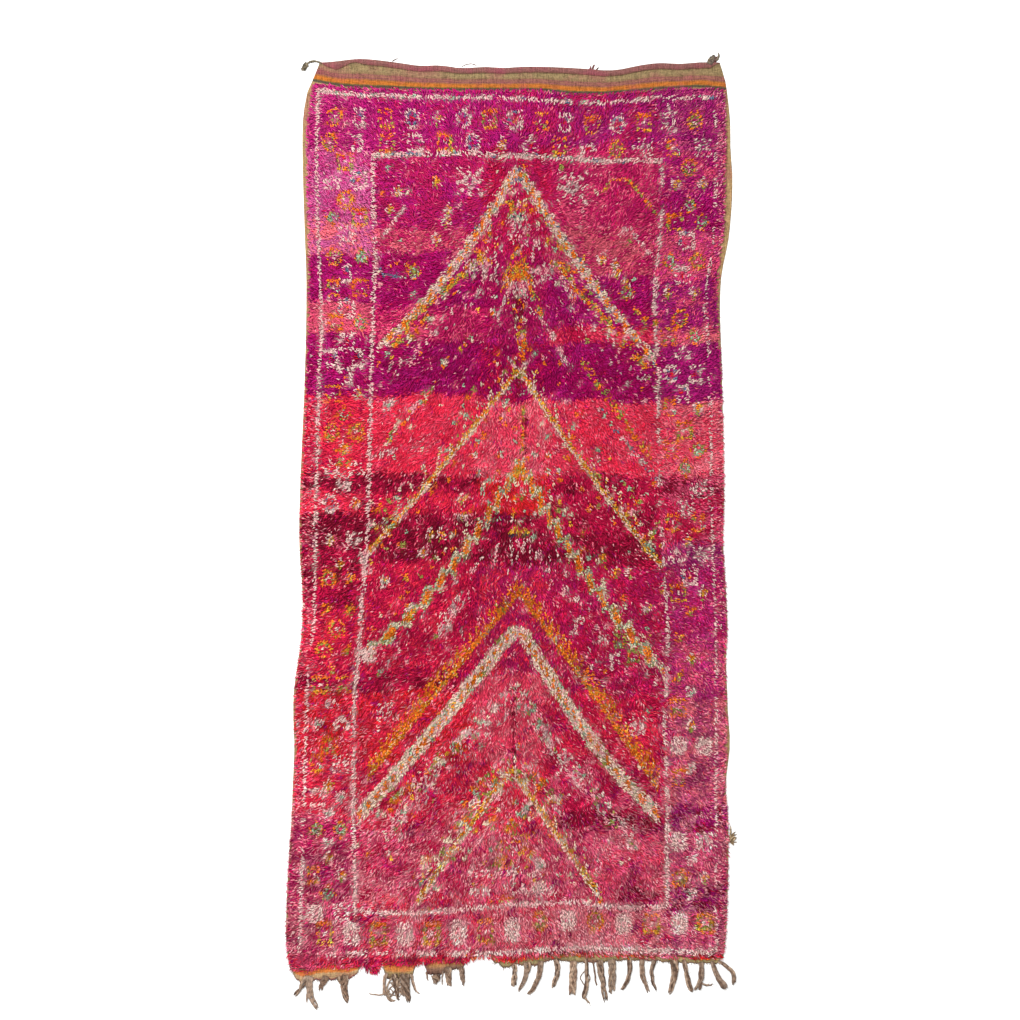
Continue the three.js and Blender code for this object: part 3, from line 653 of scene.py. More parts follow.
def knotPattern(x, y):
    # Number of the yarn knotted at each place. Later layers cover earlier ones.
    count = len(x)
    gap = wander["frameGap"]
    inner = [curve(frameLines["innerLeft"], y), curve(frameLines["innerRight"], y)]
    middle, width = (inner[0] + inner[1]) / 2, inner[1] - inner[0]
    lane = np.searchsorted(laneEdges, (x - middle) / width + rng.normal(0, wander["laneBlur"], count))
    wave = sum(tall * np.sin(x * turnX + y * turnY + start) for tall, turnX, turnY, start in wander["waves"])
    bandPlace = y + wave + rng.normal(0, wander["bandBlur"], count)
    cloud = wander["cloud"] * smoothNoise("dyeCloud", x, y) + wander["grain"] * smoothNoise("dyeGrain", x, y)
    yarn = np.zeros(count, int)
    for number, rows in enumerate(bands.values()):
        here = np.flatnonzero(lane == number)
        places, mains, seconds, mixedShares = zip(*rows)
        band = np.searchsorted(-np.array(places) * mm, -bandPlace[here]) - 1
        band = np.clip(band, 0, len(rows) - 1)
        mixed = rng.random(len(here)) < np.array(mixedShares)[band] + cloud[here]
        main, second = (np.array([yarnNumber[name] for name in names])[band] for names in (mains, seconds))
        yarn[here] = np.where(mixed, second, main)

    def some(share):
        return rng.random(count) < share

    def dye(where, names, shares=None):
        picked = rng.choice([yarnNumber[name] for name in names], size=count, p=shares)
        yarn[where] = picked[where]

    def speckle(where, share, mix, seed):
        # Knots of one yarn in small cells, some cells of the whole area
        wide, high = mixes[mix]["cell"]
        names = np.array([yarnNumber[name] for name in mixes[mix]["yarns"]])
        on = where & (cellChance(x, y, wide, high, seed) < share) & some(stray["cellFill"])
        yarn[on] = names[(cellChance(x, y, wide, high, seed + 1) * len(names)).astype(int)][on]

    for across, along, wide, high in darkPatches:
        near = ((x - across * mm) / (wide * mm)) ** 2 + ((y - along * mm) / (high * mm)) ** 2
        dye((near < 1 + cloud) & some(darkShare), ["burgundy"])
    worn = readTable(unevenDye["share"], y)
    patch = smoothNoise("patch", x, y) + unevenDye["wide"] * smoothNoise("widePatch", x, y)
    dye((patch > unevenDye["edge"]) & some(worn), unevenDye["dark"])
    dye((patch < -unevenDye["edge"]) & some(worn), unevenDye["pale"])

    outside = x < curve(frameLines["outerLeft"], y) - gap
    outside |= x > curve(frameLines["outerRight"], y) + gap
    for low, high, least, share, names in rimDyes:
        dye(outside & (x > least) & (y > low) & (y < high) & some(share), names)

    inField = (y < curve(frameLines["innerTop"], x) - gap) & (y > curve(frameLines["innerBottom"], x))
    inField &= (x > inner[0] + gap) & (x < inner[1] - gap)
    speckle(inField, stray["field"], "confetti", cellSeeds["field"])
    speckle(~inField, stray["border"], "chalk", cellSeeds["border"])
    dye(some(stray["faded"]), ["salmon", "blush", "coral"])

    for number, row in enumerate(chevrons):
        apex = np.array(row["apex"]) * mm
        kind = row["knots"]
        for side, way in (("left", -1), ("right", 1)):
            points = np.array([row["apex"], *row[side]]) * mm
            bow = row["round"] * mm                        # the apex is rounded by this much
            reach = np.hypot(points[:, 0] - apex[0], bow) - bow
            bend = np.polyfit(reach, points[:, 1], 2)
            out = (x - apex[0]) * way
            soft = np.hypot(out, bow) - bow
            slope = np.polyval(np.polyder(bend), soft)
            steep = np.sqrt(1 + (slope * out / np.hypot(out, bow)) ** 2)
            half = row["width"] * mm / 2
            off = (y - np.polyval(bend, soft)) / steep     # from the middle of the arm, up is positive
            run = out * np.sqrt(1 + slope ** 2)            # along the arm
            beat = row["beat"] * mm
            along = (run / beat % 1 - 0.5) * beat          # from the middle of the nearest knot group
            between = np.abs(along) / beat * 2
            arm = inField & (out > 0) & (out < reach[-1] + bow + gap)
            for low, high, share, mix in row["specks"]:
                speckle(arm & (off > low * mm) & (off < high * mm), share, mix, cellSeeds["arm"] + 4 * number)
            if kind in ("ribbon", "beads"):
                look, swell = ribbonLook, 1.0
                if kind == "beads":
                    swell = look["widest"] - look["pinch"] * between - look["narrowing"] * out / reach[-1]
                swell = swell + look["uneven"] * smoothNoise("swell", x, y)
                on = arm & (np.abs(off) < half * swell)
                dye(on, *blends["ribbon"])
                speckle(on & (np.abs(off) > look["core"] * mm), look["sprinkle"],
                        "beadMix" if kind == "beads" else "mint", cellSeeds["ribbon"])
                dye(arm & (np.hypot(along, off) < look["bead"] * mm), *blends["bead"])
            elif kind == "ticked":
                look = tickedLook
                dye(arm & (np.abs(off) < half), *blends["ticked"])
                dye(arm & (np.abs(off + half) < look["foot"] * mm), *blends["foot"])
                tick = np.abs(along + look["lean"] * off) < look["tick"] * mm  # leans back to the apex
                dye(arm & tick & (off > 0) & (off < look["tickEnd"] * mm), *blends["tick"])
            elif kind == "diamonds":
                look = diamondLook
                body = np.abs(off) / (half * (1 + look["growth"] * out / reach[-1])) + between
                dye(arm & (body < look["centre"]), *blends["diamond"])
                dye(arm & (body > look["centre"]) & (body < look["rim"]), *blends["diamondRim"])
            elif kind == "chain":
                look = chainLook
                scallop = half * (1 - look["swing"] * np.sin(math.pi * between / 2) ** 2)
                dye(arm & (np.abs(off - scallop) < look["scallop"] * mm), *blends["scallop"])
                dye(arm & (np.abs(off + half) < look["line"] * mm), *blends["chainLine"])
            else:
                on = arm & (np.abs(off) < half)
                speckle(on, faintLook["chalk"], "chalk", cellSeeds["faintChalk"])
                speckle(on, faintLook["mint"], "mint", cellSeeds["faintMint"])

    for number, (path, wide, share, mix) in enumerate(trails):
        near = pathDistance(path, x, y) < wide * mm / 2
        speckle(near & inField, share, mix, cellSeeds["trail"] + 2 * number)

    look = lineLook
    for name, (way, start, end, wide, solidLow, solidHigh) in lineRuns.items():
        place, offset = (y, x) if way == "along" else (x, y)
        off = np.abs(offset - curve(frameLines[name], place) + rng.normal(0, look["wobble"] * mm, count))
        share = (place - start * mm) / ((end - start) * mm)
        solid = solidLow + (solidHigh - solidLow) * share
        ragged = wide * mm / 2 * (look["wide"] + look["uneven"] * smoothNoise("lineEdge", x, y))
        on = (share > 0) & (share < 1) & (off < ragged) & some(look["fill"])
        on &= cellChance(x, y, look["gap"], look["gap"], cellSeeds["lineGaps"]) < solid
        dye(on, *blends["frameLine"])
        if "Top" in name:
            speckle(on, look["sprinkle"], "iris", cellSeeds["topLine"])

    for across, along, name, cell, tall in motifStamps():
        chart = np.array([list(line) for line in motifs[name]])
        high, wide = chart.shape
        near = np.abs(x - across) < wide * cell / 2
        near = np.flatnonzero(near & (np.abs(y - along) < high * cell * tall / 2))
        column = ((x[near] - across) / cell + wide / 2).astype(int).clip(0, wide - 1)
        level = (high / 2 - (y[near] - along) / (cell * tall)).astype(int).clip(0, high - 1)
        letters = chart[level, column]
        keep = (letters != ".") & (rng.random(len(near)) < readTable(motifKeep, y[near]))
        yarn[near[keep]] = [yarnNumber[motifYarn[letter]] for letter in letters[keep]]
    return yarn


# Locks of the shag. Sizes in millimetres; turns in radians; the rest are shares
shag = {
    "pitch": 7.5, "jitter": 0.28, "span": (-1.08, 1.05), "spare": 0.02,
    "length": 30, "lengthSpread": 5, "lengths": (14, 36), "least": 8,
    "width": 5.2, "wornWidth": 4.6, "wornAt": (-1.6, 0.6), "widths": (0.75, 1.25), "thickness": 2.0,
    "brightCompact": 0.55, "paleCompact": 0.7, "shown": 0.6, "blur": 1.5,
    "root": 4.2, "hungRoot": 1.5, "rise": 10.5, "riseChance": 1.44, "riseBumps": 1.2, "rimRise": 5.5,
    "brightRise": 2.0, "rises": (3, 15), "middleRise": 0.72, "sway": 4,
    "inset": 13, "tornInset": -4, "topInset": 4, "crown": 60,
    "overhang": 9, "tornOverhang": 19, "overhangs": (0.5, 1.3), "cutBack": 1.1,
    "turn": [(-2.1, 0.32), (0, 0.34), (1, 0.4), (1.9, 0.3)], "softTurn": 0.42, "wideTurn": 0.24,
}
# Where locks hang over the torn edge, and how far down; shade darkens them as painted shade
hanging = {"from": -690, "to": -612, "top": -2040, "low": -2084, "narrow": 0.55, "locks": 150, "length": 30,
           "turn": 0.4, "tipUp": 1, "shade": 0.8, "yarns": ("crimson", "burgundy", "red", "raspberry")}
# Sun, wear and painted highlights: share of locks with a pale tip by place along the rug, and how pale; the
# pale tips are partly bleached by sun and wear, partly painted highlights on the hair ends. How patchy the
# wool is by place in metres (partly painted shade of clumps), and how much lighter white wool is painted
# there
pale = {
    "along": [(-2020, 0.1), (-2000, 0.5), (-1780, 0.46), (-1450, 0.34), (-1150, 0.15), (-900, 0.13),
              (-300, 0.05), (190, 0.05), (200, 0.08), (540, 0.08), (560, 0.02), (1150, 0.03), (1250, 0.06),
              (1900, 0.06)],
    "colour": "#F4A4AC", "least": 0.15, "most": 0.62, "uneven": 0.5,
    "patchy": [(-2.13, 2.1), (-1, 1.6), (-0.5, 1.15), (0.2, 0.9), (1.2, 0.7), (2, 0.55)],
    "whitePatchy": 0.45,
    # White wool is painted lighter towards the torn end and darker towards the woven end: painted light that
    # evens out the lamp's light from above the woven end
    "paintedLightOnWhite": [(-2.13, 1.34), (-1.5, 1.24), (-0.9, 1.08), (0.2, 0.98), (1.2, 0.9), (2, 0.9)],
}
# How strongly single locks, by chance, and patches of three sizes are lighter or darker; the patches are
# partly uneven tone, partly painted shade of clumps and the gaps between them
shadeLook = {"lock": 0.12, "power": 0.8, "shade": 0.12, "softShade": 0.14, "wideShade": 0.07}
# Lay of the locks: out across the rug, where it turns from up to down, and how it straightens at the rim
layLook = {"out": 1.05, "turnAt": 1.75, "turnDrop": 1.6, "turnOver": 0.55, "up": 0.5, "down": 0.65,
           "rimStart": 0.88, "rimOver": 0.08, "rimStraight": 0.6}


def layOf(x, y):
    # Direction in which the locks lie: outward across the rug, down in the middle, up near the top sides,
    # and nearly straight out beside the outer frame lines
    look = layLook
    width = (shagRight(y) - shagLeft(y)) / 2
    out = (x - (shagRight(y) + shagLeft(y)) / 2) / width
    turn = look["turnAt"] - look["turnDrop"] * np.abs(out)
    up = np.clip((y - turn) / look["turnOver"], -1, 1)
    rim = np.clip((np.abs(out) - look["rimStart"]) / look["rimOver"], 0, 1)
    along = np.where(up > 0, up * look["up"], up * look["down"]) * (1 - look["rimStraight"] * rim)
    return np.stack([out * look["out"], along], 1)


def plantShag():
    # Roots in jittered rows inside the shag's outline, and a few beyond its torn edge
    pitch = shag["pitch"] * mm
    low, high = edges["bottom"][:, 1].min(), max(row[1] for row in shagStart) * mm
    across = np.arange(*shag["span"], pitch)
    along = np.arange(low - shag["spare"], high + shag["spare"], pitch)
    x, y = (part.ravel() for part in np.meshgrid(across, along))
    x = x + np.tile(np.arange(len(along)) % 2, (len(across), 1)).T.ravel() * pitch / 2
    x = x + rng.normal(0, pitch * shag["jitter"], len(x))
    y = y + rng.normal(0, pitch * shag["jitter"], len(y))
    inset = shag["inset"] * mm
    inside = (x > shagLeft(y) + inset) & (x < shagRight(y) - inset)
    inside &= y > edgeAt("bottom", x) + shag["tornInset"] * mm
    inside &= y < curve(shagStart, x) - shag["topInset"] * mm
    low, top, count = hanging["low"] * mm, hanging["top"] * mm, hanging["locks"]
    hungY = rng.uniform(hanging["low"], hanging["top"], count) * mm
    spread = hanging["narrow"] + (1 - hanging["narrow"]) * (hungY - low) / (top - low)
    middle, wide = (hanging["from"] + hanging["to"]) / 2 * mm, (hanging["to"] - hanging["from"]) * mm
    hungX = middle + wide * rng.uniform(-0.5, 0.5, count) * spread
    isHung = np.repeat([False, True], [inside.sum(), count])
    return np.append(x[inside], hungX), np.append(y[inside], hungY), isHung


rootX, rootY, isHung = plantShag()
lockCount = len(rootX)
print("locks:", lockCount)

lay = layOf(rootX, rootY)
angle = np.arctan2(lay[:, 1], lay[:, 0])
angle += shag["softTurn"] * smoothNoise("turn", rootX, rootY)
angle += shag["wideTurn"] * smoothNoise("wideTurn", rootX, rootY)
angle += rng.normal(0, 1, lockCount) * readTable(shag["turn"], rootY)
angle[isHung] = -math.pi / 2 + rng.normal(0, hanging["turn"], isHung.sum())
length = rng.normal(shag["length"], shag["lengthSpread"], lockCount)
length = np.clip(length, *shag["lengths"]) * mm
length[isHung] *= hanging["length"] / shag["length"]
heading = np.stack([np.cos(angle), np.sin(angle)], 1)

# Tips stay near the edge of the shag: a lock that would reach past it is shortened
beyond = shag["overhang"] * mm * rng.uniform(*shag["overhangs"], lockCount)
beyondTorn = beyond * shag["tornOverhang"] / shag["overhang"]
reachX, reachY = rootX + heading[:, 0] * length, rootY + heading[:, 1] * length
over = np.maximum.reduce([
    shagLeft(reachY) - beyond - reachX, reachX - shagRight(reachY) - beyond,
    edgeAt("bottom", reachX) - beyondTorn - reachY, reachY - curve(shagStart, reachX) - beyond])
shorter = np.clip(length - np.maximum(over, 0) * shag["cutBack"], shag["least"] * mm, None)
length = np.where(isHung, length, shorter)

fromRim = np.minimum.reduce([rootX - shagLeft(rootY), shagRight(rootY) - rootX,
                             rootY - edgeAt("bottom", rootX), curve(shagStart, rootX) - rootY])
crown = np.clip(fromRim / (shag["crown"] * mm), 0, 1)

# The yarn is chosen where the lock shows, not at its root
shownAt = np.column_stack([rootX, rootY]) + heading * (length * shag["shown"])[:, None]
shownAt += rng.normal(0, shag["blur"] * mm, (lockCount, 2))
lockYarn = knotPattern(shownAt[:, 0], shownAt[:, 1])
lockYarn[isHung] = rng.choice([yarnNumber[name] for name in hanging["yarns"]], isHung.sum())
familyOf = yarnFamily[lockYarn]
isPale, isBright = familyOf == "pale", familyOf == "bright"
# Pale and bright knots are short, about the place where they show
compact = np.select([isHung, isBright, isPale], [1, shag["brightCompact"], shag["paleCompact"]], 1)
rootFlat = np.column_stack([rootX, rootY]) + heading * (shag["shown"] * length * (1 - compact))[:, None]
rootX, rootY = rootFlat.T
length = length * compact

rise = (shag["rimRise"] + (shag["rise"] - shag["rimRise"]) * crown) * mm
rise += (shag["riseChance"] * rng.normal(0, 1, lockCount)
         + shag["riseBumps"] * smoothNoise("rise", rootX, rootY)) * mm * crown
rise += (isPale | isBright) * shag["brightRise"] * mm
rise = np.clip(rise, *(limit * mm for limit in shag["rises"]))

# Each lock is a closed spindle: a root, a ring of three points half way along, and a tip
side = np.stack([-heading[:, 1], heading[:, 0]], 1)
sway = rng.normal(0, shag["sway"] * mm, lockCount)[:, None] * side
rootUp = np.where(isHung, shag["hungRoot"], shag["root"]) * mm
middleFlat = rootFlat + heading * (length / 2)[:, None] + sway
middleUp = rootUp + rise * shag["middleRise"]
wide = np.interp(rootY, shag["wornAt"], (shag["wornWidth"], shag["width"])) / compact ** 0.5
half = (wide * mm / 2 * rng.uniform(*shag["widths"], lockCount))[:, None]
lockPoints = np.stack([
    np.column_stack([rootFlat, rootUp]),
    np.column_stack([middleFlat + side * half, middleUp]),
    np.column_stack([middleFlat - side * half, middleUp]),
    np.column_stack([middleFlat, middleUp + shag["thickness"] * mm]),
    np.column_stack([rootFlat + heading * length[:, None],
                     rootUp + np.where(isHung, hanging["tipUp"] * mm, rise)])], 1)
lockFaces = np.array([[0, 3, 1], [0, 2, 3], [0, 1, 2], [1, 3, 4], [3, 2, 4], [2, 1, 4]])
alongLock = [0, 0.5, 0.5, 0.5, 1]
lockMap = np.array([[0.5, 0.08], [0.1, 0.5], [0.9, 0.5], [0.5, 0.5], [0.5, 0.92]])  # places in a cell

# Colour of each lock: its dye, lighter or darker by chance and in soft patches that are partly painted shade
# of clumps, some with a pale tip that is partly a painted highlight
patchy = readTable(pale["patchy"], rootY) * np.where(isPale, pale["whitePatchy"], 1)
patches = sum(shadeLook[kind] * smoothNoise(kind, rootX, rootY)
              for kind in ("shade", "softShade", "wideShade"))
shade = np.exp(rng.normal(0, shadeLook["lock"], lockCount) * patchy ** shadeLook["power"] + patchy * patches)
# Painted shade: hung locks are darkened, as near the floor they would catch more light than the rest
shade *= np.where(isHung, hanging["shade"], np.where(isPale, readTable(pale["paintedLightOnWhite"], rootY), 1))
lockColour = yarnColour[lockYarn] * shade[:, None]
paleShare = readTable(pale["along"], rootY / mm)
paleShare = paleShare * (1 + pale["uneven"] * smoothNoise("paleTips", rootX, rootY))
isTipped = rng.random(lockCount) < paleShare
paleTipAndHighlight = np.where(isTipped, rng.uniform(pale["least"], pale["most"], lockCount), 0)
# Painted highlight: some tips are mixed towards the pale colour, partly sun-bleached wool, partly light on
# the hair ends
lockColour += (np.array(linear(pale["colour"])[:3]) - lockColour) * paleTipAndHighlight[:, None]
lockColour = np.clip(lockColour, 0, 1)


def woolMaterial(name):
    # Long wool, dyed and hand-spun: matte, painted darker down at the roots as the shade between the locks,
    # with fibres of 1.1 mm along each lock, coarser than real ones so that they show
    material, tree = newMaterial(name)
    along = addNode(tree, "Attribute", attribute_name="alongLock")
    # Painted shade: from the middle of a lock down to its root the colour darkens
    depth = addNode(tree, "MapRange", {"From Max": 0.7, "To Min": 0.68, "To Max": 1.0},
                    {"Value": (along, "Fac")})
    place = addNode(tree, "TexCoord")
    fibres = addNode(tree, "TexNoise", {"Scale": 900.0, "Detail": 2.0}, {"Vector": (place, "Object")})
    streak = addNode(tree, "MapRange", {"To Min": 0.75, "To Max": 1.25}, {"Value": (fibres, "Fac")})
    strength = addNode(tree, "Math", links={0: (depth, "Result"), 1: (streak, "Result")},
                       operation="MULTIPLY")
    finishWool(tree, shadedDye(tree, (strength, "Value")), (fibres, "Fac"), 0.4, 0.6 * mm,
               {"Specular IOR Level": 0.03})
    return material


def lockPiece(name, chosen):
    # Joins the chosen locks into one mesh with their colour (dye with its painted shade and highlights),
    # their height share and a cell of the map each
    count, each = len(chosen), lockPoints.shape[1]
    faces = (lockFaces[None] + each * np.arange(count)[:, None, None]).reshape(-1, 3)
    piece = meshObject(name, lockPoints[chosen].reshape(-1, 3), faces)
    setDye(piece.data, np.repeat(lockColour[chosen], each, 0))
    setPoints(piece.data, "alongLock", "FLOAT", np.tile(alongLock, count))
    columns = math.ceil(math.sqrt(count))
    cell = np.stack([np.arange(count) % columns, np.arange(count) // columns], 1)
    setMap(piece.data, "OFBake", ((cell[:, None] + lockMap[None]) / columns).reshape(-1, 2))
    piece.data.materials.append(woolMaterial(name + "Wool"))
    return take(piece, "pile_wool", "pile")


mostLocks = 33000  # in one piece
for family in ("magenta", "plum", "crimson", "rose", "mauve", "pale", "bright"):
    members = np.flatnonzero(familyOf == family)
    parts = max(1, math.ceil(len(members) / mostLocks))
    for number in range(parts):
        name = "pile_" + family + ("_" + str(number + 1) if parts > 1 else "")
        lockPiece(name, members[number::parts])
        print(name, len(members[number::parts]), "locks")


def closedSheet(name, upper, lower):
    # Two grids (rows, columns, 3), one over the other; faces look up, down and outwards round the rim
    rows, columns = upper.shape[:2]
    number = np.arange(rows * columns).reshape(rows, columns)
    corners = [number[:-1, :-1], number[:-1, 1:], number[1:, 1:], number[1:, :-1]]
    quads = np.stack(corners, -1).reshape(-1, 4)
    rim = np.concatenate([number[0, :-1], number[:-1, -1], number[-1, :0:-1], number[:0:-1, 0]])
    after = np.roll(rim, -1)
    below = rows * columns
    walls = np.stack([rim + below, after + below, after, rim], -1)
    faces = np.concatenate([quads, quads[:, ::-1] + below, walls])
    thing = meshObject(name, np.concatenate([upper.reshape(-1, 3), lower.reshape(-1, 3)]), faces)
    return thing, len(quads)


# Bed of the shag: the short roots between the locks, their dye darkened by dark as painted shade under the
# locks. Millimetres; both ends of the grid in metres
bed = {
    "columns": 68, "rows": 146, "ends": (-2.05, 2.0), "passes": 3, "inset": 9, "tornInset": 6, "topInset": 4,
    "low": 3.3, "rim": 4.5, "high": 8.0, "lump": 1.2, "dark": 0.66, "uneven": 0.15,
}


def bedPiece():
    # A grid between the edges of the shag, lumpy on top and thin at its rim
    u, v = np.meshgrid(np.linspace(0, 1, bed["columns"]), np.linspace(0, 1, bed["rows"]))
    y = bed["ends"][0] + (bed["ends"][1] - bed["ends"][0]) * v
    x = shagLeft(y) + (shagRight(y) - shagLeft(y)) * u
    for _ in range(bed["passes"]):
        low, high = edgeAt("bottom", x) + bed["tornInset"] * mm, curve(shagStart, x) - bed["topInset"] * mm
        y = low + (high - low) * v
        left, right = shagLeft(y) + bed["inset"] * mm, shagRight(y) - bed["inset"] * mm
        x = left + (right - left) * u
    lump = bed["lump"] * mm * smoothNoise("bedLump", x, y)
    rim = np.minimum.reduce([u, 1 - u, v, 1 - v]) == 0
    z = np.where(rim, bed["rim"] * mm, bed["high"] * mm + lump)
    upper, lower = np.stack([x, y, z], -1), np.stack([x, y, np.full_like(x, bed["low"] * mm)], -1)
    piece, _ = closedSheet("pile_bed", upper, lower)
    # Painted shade: the bed takes the dye of the knots above it, darkened by dark
    colour = yarnColour[knotPattern(x.ravel(), y.ravel())] * bed["dark"]
    colour *= np.exp(bed["uneven"] * rng.normal(0, 1, len(colour)))[:, None]
    setDye(piece.data, colour, 2)
    return take(piece, "pile_wool", "pile")


def rootMaterial():
    # Cut wool seen end on: matte, in grains of a knot's size, 6 mm, lighter in the middle of each grain and
    # darker between grains, which is painted shade
    material, tree = newMaterial("knottedWoolRoots")
    place = addNode(tree, "TexCoord")
    knots = addNode(tree, "TexVoronoi", {"Scale": 1 / (6 * mm)}, {"Vector": (place, "Object")})
    grain = addNode(tree, "MapRange", {"From Max": 0.7, "To Min": 1.25, "To Max": 0.6},
                    {"Value": (knots, "Distance")})
    finishWool(tree, shadedDye(tree, (grain, "Result")), (grain, "Result"), 0.8, 2 * mm,
               {"Specular IOR Level": 0.06})
    return material


shagBed = bedPiece()
shagBed.data.materials.append(rootMaterial())
print("bed made")

# Woven ground with its striped, hemmed end: millimetres, both ends of its grid, its flat size and area in
# metres. Rows of the hem are shares of its depth, from the fold
ground = {
    "ends": (-2.06, 2.09), "passes": 4, "bodyRows": 66, "endRows": 26, "columns": 96, "endDepth": 150,
    "thickness": 3.0, "hemRise": 2.6, "hemLow": 2.0, "hemStep": 0.6, "fold": 4, "foldUnder": 1.3,
    "hemRows": [0, 0.04, 0.12, 0.3, 0.5, 0.7, 0.88, 0.97, 1.0],
    "selvedge": [0, 2, 5, 9, 14, 22, 34], "selvedgeRise": 0.9, "selvedgeAt": 5, "selvedgeHalf": 4,
    "ripple": 0.35, "longRipple": 0.3, "calmEnd": 20, "bareEdge": 12, "cut": (2.03, 4.2), "area": 7.8,
    "leastEnd": 0.02, "slipGain": 4,
}
# Across, and how far the hem is turned over there; the slanting flap is at the left
hemDepth = [
    (-894, 3), (-884, 5), (-866, 19), (-815, 42), (-755, 20), (-735, 14), (-690, 28), (905, 29),
    (930, 10), (947, 4),
]
# Across, and how far the stripes slip towards the fold there
stripeSlip = [
    (-930, 260), (-880, 230), (-830, 60), (-780, 0), (1000, 0),
]
# Stripes of the flat-woven end: share of the way from the fold to the shag, and colour of each
endStripes = [
    (0.0, "#66543F"), (0.26, "#7A6848"), (0.4, "#7D6A4B"), (0.5, "#735A40"), (0.53, "#774B45"),
    (0.6, "#7D5242"), (0.64, "#744546"), (0.7, "#835534"), (0.74, "#9C5A25"), (0.84, "#A05C22"),
    (0.88, "#66512E"), (0.91, "#413C30"), (0.97, "#4E4538"), (1.0, "#937752"),
]
# Hem stripes from the fold to the hem's lower edge; the darker colour at the fold is painted shade on its
# rounded edge
hemStripes = [
    (0.0, "#5E4036"), (0.15, "#774F49"), (0.6, "#734946"), (0.85, "#68433B"), (1.0, "#4E3529"),
]
undyed = "#A88858"
bledDye = "#8A2C4C"  # magenta that has run into the weave in patches


def groundPiece():
    # A grid whose rows follow the torn edge, the striped end and the hem, fitted to the outline in a few
    # passes; its height is ground, rounded selvedge and the doubled, folded hem
    offsets = np.array(ground["selvedge"]) * mm
    inner = offsets[-1]
    shares = np.linspace(0, 1, ground["columns"])[1:-1]
    hemRows = np.array(ground["hemRows"])
    columns = len(shares) + 2 * len(offsets)
    rows = ground["bodyRows"] + ground["endRows"] + len(hemRows)
    x = np.zeros((rows, columns))
    y = np.tile(np.linspace(*ground["ends"], rows)[:, None], (1, columns))
    deep = np.zeros((rows, columns))
    onHem = np.zeros((rows, columns), bool)
    lowPart = slice(0, ground["bodyRows"])
    flat = slice(ground["bodyRows"], ground["bodyRows"] + ground["endRows"])
    middle = slice(len(offsets), columns - len(offsets))
    end = ground["endDepth"] * mm
    body = np.linspace(0, 1, ground["bodyRows"], endpoint=False)[:, None]
    step = np.linspace(0, 1, ground["endRows"])[:, None]
    for _ in range(ground["passes"]):
        left, right = edgeAt("left", y), edgeAt("right", y)
        x[:, :len(offsets)] = left[:, :len(offsets)] + offsets
        x[:, -len(offsets):] = right[:, -len(offsets):] - offsets[::-1]
        x[:, middle] = left[:, middle] + inner + (right - left - 2 * inner)[:, middle] * shares
        fold, torn, hem = edgeAt("top", x), edgeAt("bottom", x), curve(hemDepth, x)
        y[lowPart] = torn[lowPart] + (fold[lowPart] - end - torn[lowPart]) * body
        deep[flat] = end + (hem[flat] + ground["hemStep"] * mm - end) * step
        deep[flat.stop:] = hem[flat.stop:] * hemRows[::-1][:, None]
        y[flat.start:] = (fold - deep)[flat.start:]
    onHem[flat.stop:] = True
    deep = fold - y
    fromSide = np.minimum(x - edgeAt("left", y), edgeAt("right", y) - x)
    ripple = ground["ripple"] * mm * smoothNoise("ripple", x, y)
    ripple += ground["longRipple"] * mm * smoothNoise("longRipple", x, y * 3)
    z = ground["thickness"] * mm + ripple * np.clip(deep / (ground["calmEnd"] * mm), 0, 1)
    fromRoll = (fromSide - ground["selvedgeAt"] * mm) / (ground["selvedgeHalf"] * mm)
    z += ground["selvedgeRise"] * mm * np.exp(-fromRoll ** 2)
    foldRadius = ground["fold"] * mm
    bulge = np.sqrt(np.clip(1 - (1 - np.clip(deep / foldRadius, 0, 1)) ** 2, 0, 1))
    hemTop = ground["hemLow"] + (ground["thickness"] + ground["hemRise"] - ground["hemLow"]) * bulge
    z = np.where(onHem, hemTop * mm + ripple, z)
    bottom = np.where(deep < foldRadius, ground["foldUnder"] * (1 - bulge) * mm, 0)
    upper, lower = np.stack([x, y, z], -1), np.stack([x, y, bottom], -1)
    piece, sheetFaces = closedSheet("ground_weave", upper, lower)
    mesh = piece.data
    # Stripe map: across in metres; along 0 to 1 over the end, less than 0 on the hem
    stripe = deep / np.maximum(fold - curve(shagStart, x), ground["leastEnd"])
    slip = curve(stripeSlip, x) * ground["slipGain"]
    stripe = stripe + slip * stripe * np.clip(1 - stripe, 0, 1) ** 2
    stripe = np.where(onHem, deep / hem - 1, stripe)
    setMap(mesh, "stripes", np.tile(np.column_stack([x.ravel(), stripe.ravel()]), (2, 1)))
    colour = yarnColour[knotPattern(x.ravel(), y.ravel())]
    bare = (y > curve(shagStart, x)) | (fromSide < ground["bareEdge"] * mm)
    colour[bare.ravel()] = linear(undyed)[:3]
    setDye(mesh, colour, 2)
    # The faces of the underside take the second material
    index = np.zeros(len(mesh.polygons), np.int32)
    index[sheetFaces:2 * sheetFaces] = 1
    mesh.polygons.foreach_set("material_index", index)
    return take(piece, "ground_wool", "ground_cloth")


# Spacing of real warps and wefts in millimetres, on the face and on the back. They are drawn this much
# coarser so that they show; one wave of the texture is this long at scale 1
weave = {"face": (3.6, 1.7), "back": (6.5, 9.0), "coarser": math.pi, "wave": math.pi / 10, "warpShare": 0.6}


